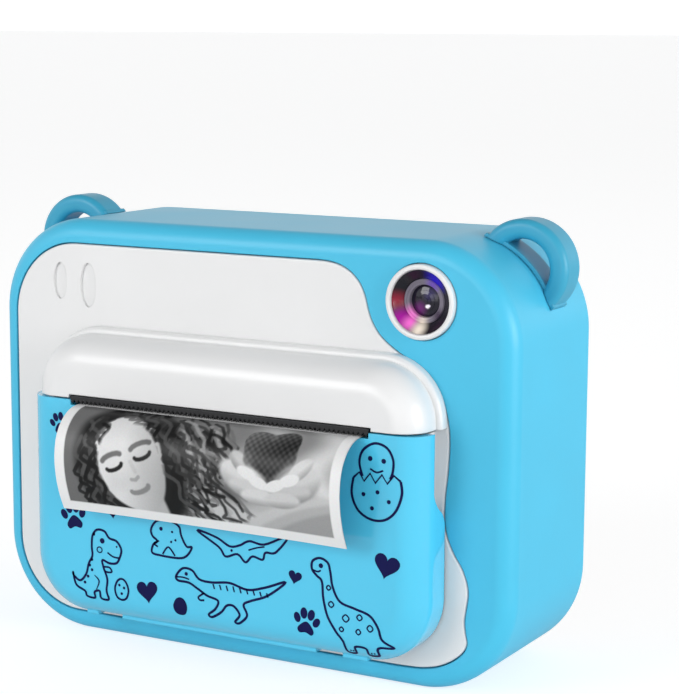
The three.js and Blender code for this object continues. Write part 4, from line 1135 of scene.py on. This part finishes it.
for name, key in KEYS.items():
    x, z = key[:2]
    rings = [at_depth(inset(key_outline(key), d), y) for d, y in KEY_STEPS]
    rim = rings[-1]
    rings += [[(x + (px - x) * k, y, z + (pz - z) * k) for px, y, pz in rim] for k in (.7, .35)]
    finish(loft(name + "_key", rings), BUTTON, name, "blue_shell", name + "_button", angle=50)
    # the icon is drawn in painted groove shade
    pen = Drawing(lambda x, z: KEY_TOP, lift=0.03, side=1)
    draw_icon(pen, name, x, z)
    pen.make(name + "_icon", GROOVE_SHADE_BLUE, name)

# Outlined paws on the rear panel
OUTLINE_TOES = [(-1.3, .55, .45, .65, 25), (-.5, 1.35, .45, .7, 8), (.5, 1.35, .45, .7, -8),
                (1.3, .55, .45, .65, -25)]
OUTLINE_PAD = [(0, .35), (-.65, 0), (-1.1, -.7), (-.75, -1.2), (0, -1.0), (.75, -1.2),
               (1.1, -.7), (.65, 0)]
# outlines drawn in grey painted groove shade
marks = Drawing(lambda x, z: BODY_BACK, lift=0.02, side=1)
for spot in ((37.8, 44.0, 1.65, -25), (37.6, 21.8, 1.75, 10)):
    toes, pad = paw(OUTLINE_TOES, OUTLINE_PAD, *spot)
    for x, z, a, b, tilt in toes:
        marks.line(ellipse(x, z, a, b, 26, tilt), .3, True)
    marks.line(pad, .3, True)
marks.make("paw_marks", GROOVE_SHADE_GREY, "housing")

# ---------------------------------------------------------------- stage, in metres
bpy.ops.mesh.primitive_plane_add(size=60, location=(0, 0, 0))
floor = bpy.context.object
floor.name = "floor"
floor_look = bpy.data.materials.new("floor")
floor_look.use_nodes = True
tree = floor_look.node_tree
# the floor glows brighter to the camera than it does as a light
glow = add_node(tree, "MapRange", {
    "Value": add_node(tree, "LightPath").outputs["Is Camera Ray"],
    "To Min": 0.22, "To Max": 0.68})
set_inputs(tree, tree.nodes["Principled BSDF"], {
    "Base Color": (0.50, 0.50, 0.50, 1), "Roughness": 0.8, "Emission Color": (1, 1, 1, 1),
    "Emission Strength": glow.outputs["Result"]})
floor.data.materials.append(floor_look)

scene = bpy.context.scene
world = bpy.data.worlds.new("w")
scene.world = world
world.use_nodes = True
tree = world.node_tree
# bright horizon fading to a dim sky overhead
sky = add_node(tree, "SeparateXYZ", {"Vector": add_node(tree, "TexCoord").outputs["Generated"]})
fade = add_node(tree, "MapRange", {
    "Value": sky.outputs["Z"], "From Min": 0.12, "From Max": 0.85, "To Min": 1.12,
    "To Max": 0.20}, interpolation_type="SMOOTHSTEP")
set_inputs(tree, tree.nodes["Background"],
           {"Strength": fade.outputs["Result"], "Color": (0.98, 0.99, 1, 1)})


def area_light(name, location, size, power):
    lamp = bpy.data.lights.new(name, "AREA")
    lamp.size = size
    lamp.energy = power
    made = bpy.data.objects.new(name, lamp)
    scene.collection.objects.link(made)
    made.location = location
    aim = Vector((0, 0, 0.035)) - Vector(location)
    made.rotation_euler = aim.to_track_quat("-Z", "Y").to_euler()


area_light("key", (-0.42, -0.80, 0.38), size=0.40, power=2.75)
area_light("fill", (0.85, -0.10, 0.14), size=0.45, power=4.8)
area_light("rim", (0.1, 0.7, 0.8), size=0.6, power=0.35)
area_light("low", (0.05, -0.6, 0.06), size=0.30, power=0.35)

# camera turned left by yaw, down by pitch, then rolled about its view
yaw, pitch_down, roll = radians(29.05), radians(8.94), radians(0.3)
forward = Vector((-sin(yaw) * cos(pitch_down), cos(yaw) * cos(pitch_down), -sin(pitch_down)))
level = Vector((cos(yaw), sin(yaw), 0))
upright = level.cross(forward)
right = cos(roll) * level + sin(roll) * upright
up = -sin(roll) * level + cos(roll) * upright
lens = bpy.data.cameras.new("cam")
lens.lens = 105.779827
lens.sensor_width = 36
lens.sensor_fit = "AUTO"
lens.clip_start = 0.01
camera = bpy.data.objects.new("cam", lens)
scene.collection.objects.link(camera)
scene.camera = camera
pose = Matrix((right, up, -forward)).transposed().to_4x4()
pose.translation = (0.1845, -0.3130, 0.1111)
camera.matrix_world = pose
scene.view_settings.view_transform = "Standard"
